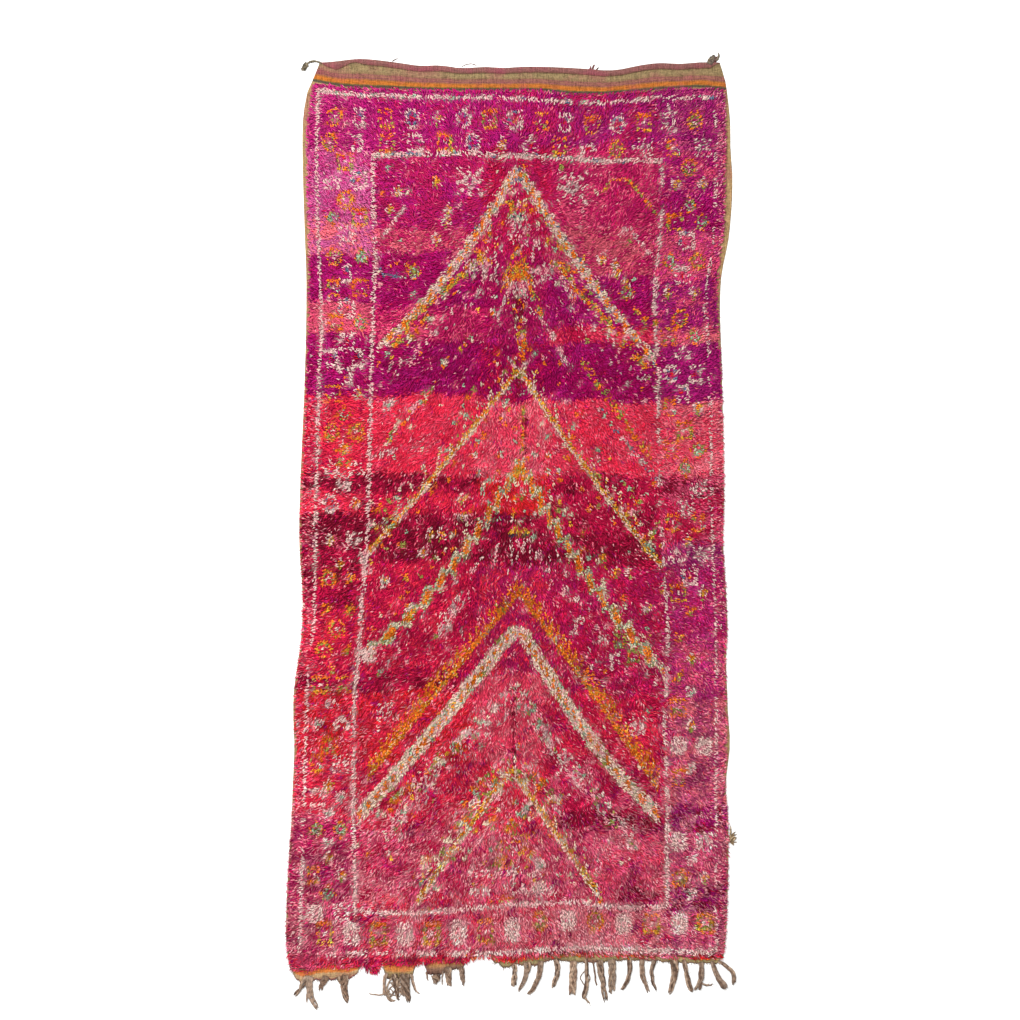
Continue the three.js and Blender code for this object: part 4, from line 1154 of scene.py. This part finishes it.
def weaveHeight(tree, place, side):
    # Ribs of the warp across the rug, and the wefts that cover them, as one height
    ribs, picks = (weave["wave"] / (spacing * mm * weave["coarser"]) for spacing in weave[side])
    warp = addNode(tree, "TexWave", {"Scale": ribs, "Distortion": 0.6, "Detail": 1.0},
                   {"Vector": (place, "Object")}, bands_direction="X")
    weft = addNode(tree, "TexWave", {"Scale": picks, "Distortion": 1.5, "Detail": 1.0},
                   {"Vector": (place, "Object")}, bands_direction="Y")
    return addNode(tree, "Math", {1: weave["warpShare"]}, {0: (warp, "Fac"), 2: (weft, "Fac")},
                   operation="MULTIPLY_ADD")


def stripeRamp(tree, source, low, high, stops):
    # A colour ramp over part of the stripe map
    spread = addNode(tree, "MapRange", {"From Min": low, "From Max": high}, {"Value": source})
    ramp = addNode(tree, "ValToRGB", links={"Fac": (spread, "Result")})
    marks = ramp.color_ramp.elements
    while len(marks) < len(stops):
        marks.new(1)
    for mark, (place, code) in zip(marks, stops):
        mark.position, mark.color = place, linear(code)
    return ramp, "Color"


def wovenMaterial(name, stripes, hemmed):
    # Flat-woven wool of hand-spun weft: matte, striped, ribbed by the warp, streaked where dye took unevenly
    material, tree = newMaterial(name)
    place = addNode(tree, "TexCoord")
    here = {"Vector": (place, "Object")}
    layer = addNode(tree, "UVMap", uv_map="stripes")
    split = addNode(tree, "SeparateXYZ", links={"Vector": (layer, "UV")})
    # The edges of the stripes waver by this share of the end, in patches of 3 cm
    waver = 0.06
    soft = addNode(tree, "TexNoise", {"Scale": 30.0, "Detail": 3.0}, here)
    uneven = addNode(tree, "Math", {1: waver}, {0: (soft, "Fac"), 2: (split, "Y")}, operation="MULTIPLY_ADD")
    level = addNode(tree, "Math", {1: waver / 2}, {0: (uneven, "Value")}, operation="SUBTRACT")
    both = stripeRamp(tree, (level, "Value"), 0.0, 1.0, stripes)
    if hemmed:
        hem = stripeRamp(tree, (split, "Y"), -1.0, 0.0, hemStripes)
        isHem = addNode(tree, "Math", {1: 0.0}, {0: (split, "Y")}, operation="LESS_THAN")
        mix = addNode(tree, "Mix", links={0: (isHem, "Value"), 6: both, 7: hem}, data_type="RGBA")
        both = mix, 2
    cloud = addNode(tree, "TexNoise", {"Scale": 11.0, "Detail": 3.0}, here)
    bled = addNode(tree, "MapRange", {"From Min": 0.5, "From Max": 0.72, "To Max": 0.4},
                   {"Value": (cloud, "Fac")})
    dyed = addNode(tree, "Mix", {7: linear(bledDye)}, {0: (bled, "Result"), 6: both}, data_type="RGBA")
    # Streaks along the warp, thick and thin picks of the weft, and slubs of 5 mm
    stretch = addNode(tree, "Mapping", {"Scale": (170, 20, 1)}, here)
    streaks = addNode(tree, "TexNoise", {"Detail": 4.0, "Scale": 1.0}, {"Vector": (stretch, "Vector")})
    squeeze = addNode(tree, "Mapping", {"Scale": (24, 300, 1)}, here)
    picks = addNode(tree, "TexNoise", {"Detail": 3.0, "Scale": 1.0}, {"Vector": (squeeze, "Vector")})
    slubs = addNode(tree, "TexNoise", {"Detail": 2.0, "Scale": 190.0}, here)
    mottle = addNode(tree, "Math", links={0: (streaks, "Fac"), 1: (picks, "Fac")}, operation="ADD")
    more = addNode(tree, "Math", links={0: (mottle, "Value"), 1: (slubs, "Fac")}, operation="ADD")
    dim = addNode(tree, "MapRange", {"From Min": 1.15, "From Max": 1.85, "To Min": 0.5, "To Max": 1.5},
                  {"Value": (more, "Value")})
    colour = addNode(tree, "VectorMath", links={0: (dyed, 2), "Scale": (dim, "Result")}, operation="SCALE")
    finishWool(tree, (colour, "Vector"), (weaveHeight(tree, place, "face"), "Value"), 0.7, 1.2 * mm,
               {"Sheen Weight": 0.03, "Specular IOR Level": 0.1})
    return material


def backMaterial():
    # Back of the knots: rows of small flat loops in the colours of the shag, faded and dusty, and painted
    # darker in the hollows between the loops as shade
    material, tree = newMaterial("knotBacksWool")
    place = addNode(tree, "TexCoord")
    height = weaveHeight(tree, place, "back"), "Value"
    dim = addNode(tree, "MapRange", {"From Max": 1.6, "To Min": 0.4, "To Max": 0.85}, {"Value": height})
    finishWool(tree, shadedDye(tree, (dim, "Result")), height, 0.6, 1.2 * mm, {"Specular IOR Level": 0.1})
    return material


groundWeave = groundPiece()
groundWeave.data.materials.append(wovenMaterial("flatWovenWool", endStripes, True))
groundWeave.data.materials.append(backMaterial())
print("ground made")

# Worn strips of the torn end: lower edge, stripes from the shag down, and felted locks as
# root, bend, tip, width and width at the tip
strips = {
    "fringe_left": {
        "edge": [
            (-1027, -2091), (-1000, -2130), (-970, -2150), (-949, -2133), (-811, -2133), (-755, -2128),
            (-702, -2084)],
        "stripes": [
            (0.0, "#C05A22"), (0.42, "#C4743A"), (0.52, "#B09068"), (0.82, "#9C8460"), (0.92, "#84504C"),
            (1.0, "#4E3A30")],
        "locks": [
            ((-950, -2115), (-972, -2160), (-1009, -2206), 24, 14),
            ((-938, -2115), (-956, -2183), (-905, -2262), 30, 16),
            ((-946, -2172), (-954, -2206), (-956, -2241), 8, 5),
            ((-866, -2115), (-875, -2146), (-894, -2176), 28, 14),
            ((-811, -2118), (-801, -2137), (-795, -2156), 16, 6),
            ((-776, -2110), (-788, -2169), (-769, -2234), 30, 18)]},
    "fringe_tangle": {
        "edge": [(-603, -2114), (-562, -2130), (-488, -2130), (-451, -2110)],
        "stripes": [
            (0.0, "#C86A2C"), (0.45, "#C07A42"), (0.6, "#988058"), (0.85, "#6A5640"), (1.0, "#443630")],
        "locks": [
            ((-585, -2100), (-606, -2151), (-594, -2206), 14, 9),
            ((-592, -2183), (-580, -2243), (-546, -2222), 8, 7),
            ((-550, -2105), (-544, -2151), (-533, -2225), 26, 9),
            ((-503, -2105), (-503, -2169), (-479, -2234), 40, 13),
            ((-472, -2105), (-466, -2165), (-440, -2195), 14, 6),
            ((-592, -2192), (-626, -2211), (-668, -2192), 6, 4),
            ((-560, -2120), (-610, -2180), (-556, -2230), 7, 5),
            ((-520, -2120), (-570, -2190), (-520, -2226), 9, 5),
            ((-490, -2130), (-540, -2170), (-500, -2215), 7, 5)],
        "tangle": {"middle": (-536, -2178), "half": (58, 46), "cords": 21, "reach": (0.4, 1.1),
                   "width": 5, "tip": 4}},
    "fringe_stubs": {
        "edge": [
            (-415, -2082), (-396, -2104), (-359, -2112), (-327, -2100), (-272, -2080), (-223, -2086)],
        "stripes": [(0.0, "#C0562A"), (0.35, "#A8784C"), (0.6, "#80604E"), (1.0, "#4A342E")],
        "locks": [
            ((-403, -2096), (-400, -2119), (-394, -2142), 7, 4),
            ((-359, -2110), (-357, -2133), (-362, -2151), 36, 12),
            ((-302, -2075), (-305, -2119), (-295, -2158), 30, 14),
            ((-326, -2090), (-330, -2123), (-332, -2151), 6, 4),
            ((-242, -2076), (-235, -2119), (-233, -2156), 24, 10)]},
    "fringe_right": {
        "edge": [
            (-104, -2056), (-69, -2056), (-51, -2080), (18, -2062), (97, -2068), (157, -2044),
            (216, -2042), (281, -2052), (415, -2052), (516, -2040), (682, -2048), (857, -2056),
            (951, -2058)],
        "stripes": [
            (0.0, "#A0583A"), (0.22, "#A08C5C"), (0.6, "#988A60"), (0.82, "#7A664A"), (1.0, "#564234")],
        "locks": [
            ((2, -2055), (9, -2110), (-5, -2158), 18, 22), ((62, -2050), (69, -2105), (21, -2186), 30, 8),
            ((124, -2045), (122, -2133), (71, -2197), 24, 14),
            ((193, -2036), (216, -2105), (175, -2163), 22, 15),
            ((272, -2045), (279, -2123), (265, -2197), 28, 27),
            ((333, -2036), (342, -2133), (322, -2215), 14, 19),
            ((322, -2206), (332, -2225), (348, -2236), 9, 6),
            ((394, -2040), (402, -2110), (424, -2229), 28, 16),
            ((364, -2040), (372, -2110), (382, -2160), 6, 5),
            ((451, -2036), (456, -2110), (447, -2190), 30, 24),
            ((530, -2031), (548, -2142), (486, -2176), 20, 12),
            ((590, -2036), (585, -2110), (617, -2188), 22, 15),
            ((649, -2040), (617, -2110), (656, -2179), 19, 9),
            ((735, -2040), (753, -2110), (714, -2195), 32, 14),
            ((783, -2040), (797, -2110), (813, -2186), 17, 20),
            ((861, -2050), (875, -2123), (841, -2181), 20, 22),
            ((858, -2142), (894, -2168), (914, -2149), 9, 6),
            ((912, -2045), (926, -2105), (974, -2172), 15, 26),
            ((940, -2045), (1030, -2087), (1009, -2150), 15, 16),
            ((324, -2092), (372, -2118), (330, -2158), 4, 4),
            ((326, -2092), (286, -2124), (330, -2158), 4, 4)]},
}
# Weave of the strips: millimetres, and shares
strip = {"step": 2.5, "rows": 7, "thick": 2.6, "rimThick": 0.45, "bumps": 0.25, "ragged": 2.4, "torn": 0.6,
         "gap": 0.3, "least": 2, "taper": 22, "endDeep": 0.35}
# Felted locks: strands wound round each other, their splay and loose ends, hairs, and short warp ends.
# Millimetres, radians and turns; the rest are shares of a lock's length or width
felt = {
    "rings": 15, "sides": 5, "pitch": 6, "bulk": 1.25, "belly": 0.12, "turns": 0.9,
    "turnsSpread": (0.7, 1.2), "phase": 0.8, "flatness": 0.6, "overlap": (1.15, 0.75), "body": 2.5,
    "rise": 0.24, "thinning": 0.4, "lift": 1.3, "waver": 2.0, "waves": ((6, 10), (13, 20)),
    "smallWave": 0.6, "splayAt": 0.75, "splay": 0.8, "splaySpread": (-0.3, 1), "ends": (-9, 6),
    "bluntAt": 0.92, "blunt": 0.5, "strand": (0.85, 1.1), "lumps": (0.88, 1.12),
    "colours": [("#8E7868", 0.4), ("#775F4F", 0.25), ("#9C8470", 0.2), ("#584438", 0.15)],
    "dyeSpread": 0.2, "hairs": 4, "hairyWidth": 7, "hairLength": 30, "hairSpread": (0.4, 1.1),
    "hairFrom": (0.35, 1.0), "hairTurn": 0.6, "hairBend": 0.9, "hairUp": (0.7, 2.5), "hairRadius": 0.55,
    "hairPoints": 8, "hairSides": 3, "hairParts": (0.6, 0.5), "hairTip": 0.6, "leastLift": 1.02,
    "stubPitch": 7, "stubLength": 9, "stubSpread": (0.3, 1.3), "stubInset": (4, 2), "stubShift": 2,
    "stubSlant": 4, "stubStart": 3, "stubUp": 1.4, "stubRadius": 1.2, "stubPoints": 4, "stubTip": 0.5,
    "stubFlatness": 0.8,
}


def stripPiece(node):
    # Ragged woven strip from the ground's torn edge to its own lower edge, shallower at both ends
    row = strips[node]
    start, end = row["edge"][0][0] * mm, row["edge"][-1][0] * mm
    x = np.arange(start, end, strip["step"] * mm)
    upperEdge = edgeAt("bottom", x) - strip["gap"] * mm
    ragged = strip["torn"] * rng.normal(0, 1, len(x)) + smoothNoise("raggedEdge", x, x * 0)
    lowerEdge = curve(row["edge"], x) + strip["ragged"] * mm * ragged
    fromEnd = np.minimum(x - x[0], x[-1] - x)
    lowerEdge = np.minimum(lowerEdge, upperEdge - strip["least"] * mm)
    depth = np.clip(strip["endDeep"] + fromEnd / (strip["taper"] * mm), 0, 1)
    lowerEdge = upperEdge - (upperEdge - lowerEdge) * depth
    share = np.linspace(1, 0, strip["rows"])[:, None]
    y = upperEdge + (lowerEdge - upperEdge) * share
    across = np.tile(x, (strip["rows"], 1))
    rim = (share == 0) | (share == 1) | (across == x[0]) | (across == x[-1])
    z = np.where(rim, strip["rimThick"], 1) * strip["thick"] * mm
    z = z + strip["bumps"] * mm * smoothNoise("stripLump", across, y)
    upper, lower = np.stack([across, y, z], -1), np.stack([across, y, np.zeros_like(y)], -1)
    piece, _ = closedSheet(node + "_weave", upper, lower)
    places = np.column_stack([across.ravel(), np.broadcast_to(share, y.shape).ravel()])
    setMap(piece.data, "stripes", np.tile(places, (2, 1)))
    piece.data.materials.append(wovenMaterial("wornWool_" + node, row["stripes"], False))
    return take(piece, "fringe_wool", node)


def bendCurve(start, bend, end, t):
    # Leaves its start towards the bend and reaches its end from there, at shares t of the way
    return (1 - t) ** 2 * start + 2 * t * (1 - t) * bend + t ** 2 * end


def lockCurve(row, t):
    # The curve of a lock's row, in metres
    return bendCurve(*(np.array(place) * mm for place in row[:3]), t)


def tubes(paths, radii, flatness, sides):
    # Rings square to each path, closed at both ends by a point: paths is (n, k, 3), radii (n, k).
    # The map holds the run along a path and the share round it
    count, rings = radii.shape
    tiny = 1e-12
    way = np.gradient(paths, axis=1)
    way /= np.linalg.norm(way, axis=2, keepdims=True) + tiny
    out = np.stack([way[..., 1], -way[..., 0], np.zeros((count, rings))], -1)
    out /= np.linalg.norm(out, axis=2, keepdims=True) + tiny
    up = np.cross(out, way)
    turn = np.linspace(0, 2 * math.pi, sides, endpoint=False)[:, None]
    ring = np.cos(turn) * out[:, :, None] + flatness * np.sin(turn) * up[:, :, None]
    wall = paths[:, :, None] + ring * radii[:, :, None, None]
    points = np.concatenate([wall.reshape(count, -1, 3), paths[:, :1], paths[:, -1:]], 1)
    first = np.arange(sides)
    after, last = (first + 1) % sides, (rings - 1) * sides
    ringStart = np.arange(rings - 1)[:, None] * sides
    a, b = (ringStart + first).ravel(), (ringStart + after).ravel()
    startPoint, endPoint = np.full(sides, rings * sides), np.full(sides, rings * sides + 1)
    faces = np.concatenate([
        np.stack([a, a + sides, b + sides], 1), np.stack([a, b + sides, b], 1),
        np.stack([startPoint, first, after], 1), np.stack([endPoint, last + after, last + first], 1)])
    faces = (faces[None] + np.arange(count)[:, None, None] * points.shape[1]).reshape(-1, 3)
    step = np.linalg.norm(np.diff(paths, axis=1), axis=2)
    run = np.concatenate([np.zeros((count, 1)), np.cumsum(step, 1)], 1)
    around = np.linspace(0, 1, sides)
    places = np.stack(np.broadcast_arrays(run[:, :, None], around), -1).reshape(count, -1, 2)
    ends = np.stack([run[:, [0, 0]], run[:, [-1, 0]]], 1)
    return points.reshape(-1, 3), faces, np.concatenate([places, ends], 1).reshape(-1, 2), points.shape[1]


def lockStrands(rows, look):
    # Strands wound loosely round each lock's curve: side and height follow a turning circle, flattened
    t = np.linspace(0, 1, look["rings"])
    paths, radii = [], []
    for row in rows:
        centre = lockCurve(row, t[:, None])
        way = np.gradient(centre, axis=0)
        way /= np.linalg.norm(way, axis=1, keepdims=True)
        aside = np.stack([way[:, 1], -way[:, 0]], 1)
        width, end = row[3] * look["bulk"], row[4] * look["bulk"]
        strands = max(1, round(width / look["pitch"]))
        wide = (width + (end - width) * t + look["belly"] * width * np.sin(math.pi * t)) * mm
        tall = (look["body"] + look["rise"] * width) * (1 - look["thinning"] * t) * mm
        radius = wide / (2 if strands == 1 else look["overlap"][0] + look["overlap"][1] * strands)
        longWave, shortWave = look["waves"]
        waver = look["waver"] * mm * t * (
            np.sin(t * rng.uniform(*longWave) + rng.uniform(0, 6))
            + look["smallWave"] * np.sin(t * rng.uniform(*shortWave)))
        for number in range(strands):
            turns = look["turns"] * t * rng.uniform(*look["turnsSpread"])
            phase = 2 * math.pi * (number / strands + turns) + rng.uniform(0, look["phase"])
            late = np.clip((t - look["splayAt"]) / (1 - look["splayAt"]), 0, 1)
            splay = 1 + look["splay"] * late * rng.uniform(*look["splaySpread"])
            offset = (wide / 2 - radius) * np.cos(phase) * splay + waver
            reach = rng.uniform(*look["ends"]) * mm * t[:, None] ** 3
            flat = centre + aside * offset[:, None] + way * reach
            low = radius * look["flatness"] * look["lift"]
            high = np.maximum(tall - low, low * look["leastLift"])
            up = low + (high - low) * (0.5 + 0.5 * np.sin(phase))
            paths.append(np.column_stack([flat, up]))
            last = np.clip((t - look["bluntAt"]) / (1 - look["bluntAt"]), 0, 1)
            blunt = 1 - look["blunt"] * last ** 2
            radii.append(radius * rng.uniform(*look["strand"]) * blunt * rng.uniform(*look["lumps"], len(t)))
    return np.array(paths), np.array(radii)


def tangledCords(spot):
    # Thin cords that bend and cross inside an oval, as rows of root, bend, tip, width and width at the tip
    turn = rng.uniform(0, 2 * math.pi, (spot["cords"], 3))
    reach = rng.uniform(*spot["reach"], (spot["cords"], 3))
    across = spot["middle"][0] + spot["half"][0] * reach * np.cos(turn)
    along = spot["middle"][1] + spot["half"][1] * reach * np.sin(turn)
    return [(*zip(ax, ay), spot["width"], spot["tip"]) for ax, ay in zip(across, along)]


def looseHairs(rows, look):
    # Fine fibres that leave a lock at any place and bend down to the floor
    t = np.linspace(0, 1, look["hairPoints"])
    floorUp, lockUp = look["hairUp"]
    firstPart, lastPart = look["hairParts"]
    paths = []
    for row in rows:
        for _ in range(look["hairs"] if row[3] > look["hairyWidth"] else 1):
            start = lockCurve(row, rng.uniform(*look["hairFrom"]))
            way = np.array(row[2]) - np.array(row[0])
            turn = math.atan2(way[1], way[0]) + rng.normal(0, look["hairTurn"])
            reach = look["hairLength"] * mm * rng.uniform(*look["hairSpread"])
            middle = start + firstPart * reach * np.array([math.cos(turn), math.sin(turn)])
            turn += rng.normal(0, look["hairBend"])
            last = middle + lastPart * reach * np.array([math.cos(turn), math.sin(turn)])
            up = (floorUp + lockUp * (1 - t) ** 2) * mm
            paths.append(np.column_stack([bendCurve(start, middle, last, t[:, None]), up]))
    radii = np.full((len(paths), len(t)), look["hairRadius"] * mm) * np.linspace(1, look["hairTip"], len(t))
    return np.array(paths), radii


def warpStubs(node, look):
    # Short ends of warp along a strip's lower edge
    edge = strips[node]["edge"]
    first, last = look["stubInset"]
    x = np.arange(edge[0][0] + first, edge[-1][0] - last, look["stubPitch"]) * mm
    x = x + rng.normal(0, look["stubShift"] * mm, len(x))
    t = np.linspace(0, 1, look["stubPoints"])[None, :]
    reach = look["stubLength"] * mm * rng.uniform(*look["stubSpread"], len(x))[:, None]
    start = look["stubStart"] * mm
    y = curve(edge, x)[:, None] + start - (reach + start) * t
    across = x[:, None] + rng.normal(0, look["stubSlant"] * mm, len(x))[:, None] * t ** 2
    paths = np.stack([across, y, np.broadcast_to(look["stubUp"] * mm, y.shape)], -1)
    return paths, np.full(y.shape, look["stubRadius"] * mm) * (1 - look["stubTip"] * t ** 2)


def yarnPiece(name, groups, look, slot, nodes):
    # Joins groups of tubes (paths, radii, flatness, sides) into one mesh with a dye for each strand
    points, faces, places, dyes, total = [], [], [], [], 0
    codes = np.array([linear(code)[:3] for code, _ in look["colours"]])
    shares = np.array([share for _, share in look["colours"]])
    for paths, radii, flatness, sides in groups:
        corners, rings, where, each = tubes(paths, radii, flatness, sides)
        dye = codes[rng.choice(len(codes), len(paths), p=shares / shares.sum())]
        dye = dye * np.exp(rng.normal(0, look["dyeSpread"], len(paths)))[:, None]
        points.append(corners)
        faces.append(rings + total)
        places.append(where)
        dyes.append(np.repeat(dye, each, axis=0))
        total += len(corners)
    piece = meshObject(name, np.concatenate(points), np.concatenate(faces))
    setDye(piece.data, np.concatenate(dyes))
    setMap(piece.data, "alongYarn", np.concatenate(places))
    return take(piece, slot, *nodes)


# Plies of the yarns: how far they shift in one turn round a strand, in millimetres, how many of these
# shifts they lie apart, one wave of the texture at scale 1, and their share beside the fuzz
plyLook = {"fringe": 7, "loose": 5, "apart": 1.2 * math.pi, "wave": math.pi / 5, "share": 0.2}


def feltMaterial(name, kind):
    # Hand-spun yarn, felted by wear: matte, a fuzzy mottle of 4 mm, and the slanting plies of its twist,
    # coarser than real ones so that they show, painted darker in their grooves and lighter on their crests as
    # shade and light
    material, tree = newMaterial(name)
    place = addNode(tree, "TexCoord")
    layer = addNode(tree, "UVMap", uv_map="alongYarn")
    turn = plyLook["wave"] / plyLook["apart"]
    slant = addNode(tree, "Mapping", {"Scale": (turn / (plyLook[kind] * mm), turn, 1)},
                    {"Vector": (layer, "UV")})
    plies = addNode(tree, "TexWave", {"Scale": 1.0, "Distortion": 1.2, "Detail": 2.0},
                    {"Vector": (slant, "Vector")}, bands_direction="DIAGONAL")
    fuzz = addNode(tree, "TexNoise", {"Scale": 260.0, "Detail": 4.0}, {"Vector": (place, "Object")})
    both = addNode(tree, "Math", {1: plyLook["share"]}, {0: (plies, "Fac"), 2: (fuzz, "Fac")},
                   operation="MULTIPLY_ADD")
    dim = addNode(tree, "MapRange", {"From Min": 0.3, "From Max": 0.9, "To Min": 0.42, "To Max": 1.5},
                  {"Value": (both, "Value")})
    finishWool(tree, shadedDye(tree, (dim, "Result")), (both, "Value"), 0.6, 1 * mm,
               {"Sheen Weight": 0.04, "Specular IOR Level": 0.1})
    return material


fringePieces = []
for node, row in strips.items():
    woven = stripPiece(node)
    rows = row["locks"] + (tangledCords(row["tangle"]) if "tangle" in row else [])
    groups = [(*lockStrands(rows, felt), felt["flatness"], felt["sides"]),
              (*looseHairs(row["locks"], felt), 1, felt["hairSides"]),
              (*warpStubs(node, felt), felt["stubFlatness"], felt["hairSides"])]
    locks = yarnPiece(node + "_locks", groups, felt, "fringe_wool", [node])
    locks.data.materials.append(feltMaterial("feltedWarp_" + node, "fringe"))
    fringePieces += [woven, locks]
    print(node, "made")

# Loose yarn: cord tails at both upper corners, a frayed tuft on the right edge, threads on the fold
looseYarn = {
    "corner_tail_left": {
        "locks": [
            ((-884, 2088), (-924, 2112), (-960, 2080), 9, 9),
            ((-952, 2086), (-963, 2078), (-966, 2058), 22, 13),
            ((-956, 2084), (-972, 2076), (-976, 2056), 12, 6),
            ((-962, 2070), (-972, 2062), (-983, 2064), 8, 4)],
        "colours": [("#625949", 0.5), ("#4E4638", 0.3), ("#776B57", 0.2)], "hairs": 2},
    "corner_tail_right": {
        "locks": [
            ((900, 2086), (906, 2108), (924, 2116), 26, 20),
            ((912, 2104), (926, 2114), (941, 2110), 22, 12),
            ((934, 2106), (946, 2120), (941, 2136), 10, 5), ((898, 2094), (912, 2088), (930, 2100), 14, 8)],
        "colours": [("#554B42", 0.4), ("#5E3A3A", 0.3), ("#6E6250", 0.3)], "hairs": 3},
    "side_tuft": {
        "locks": [
            ((980, -1484), (1004, -1482), (1027, -1479), 30, 8),
            ((992, -1478), (1004, -1466), (1019, -1453), 14, 5),
            ((994, -1476), (1000, -1450), (998, -1428), 10, 4),
            ((994, -1488), (1006, -1500), (1014, -1512), 14, 5),
            ((984, -1470), (1010, -1470), (1024, -1462), 8, 4),
            ((984, -1490), (1008, -1496), (1022, -1498), 8, 4)],
        "colours": [("#8C7458", 0.4), ("#6E5A44", 0.3), ("#B0987A", 0.3)], "hairs": 4},
    "fold_threads": {
        "locks": [
            ((352, 2040), (362, 2068), (372, 2086), 12, 5), ((340, 2044), (350, 2060), (356, 2080), 9, 4),
            ((364, 2038), (376, 2056), (388, 2068), 9, 4),
            ((-240, 2074), (-200, 2098), (-166, 2076), 3, 3),
            ((-560, 2098), (-550, 2108), (-536, 2110), 4, 3),
            ((120, 2052), (132, 2062), (140, 2058), 4, 3), ((700, 2076), (712, 2088), (722, 2084), 4, 3)],
        "colours": [("#5E463C", 0.7), ("#6E3E44", 0.3)], "hairs": 1},
}
# What loose yarn has otherwise than the fringe; hairs of each are in the table
looseLook = {"pitch": 5, "hairLength": 16, "waver": 0.8, "rings": 12}
for name, row in looseYarn.items():
    look = {**felt, **looseLook, "colours": row["colours"], "hairs": row["hairs"]}
    groups = [(*lockStrands(row["locks"], look), look["flatness"], look["sides"]),
              (*looseHairs(row["locks"], look), 1, look["hairSides"])]
    nodes = [name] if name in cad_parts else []
    piece = yarnPiece(name + "_yarn", groups, look, "loose_yarn", nodes)
    piece.data.materials.append(feltMaterial("frayedYarn_" + name, "loose"))
print("loose yarn made")
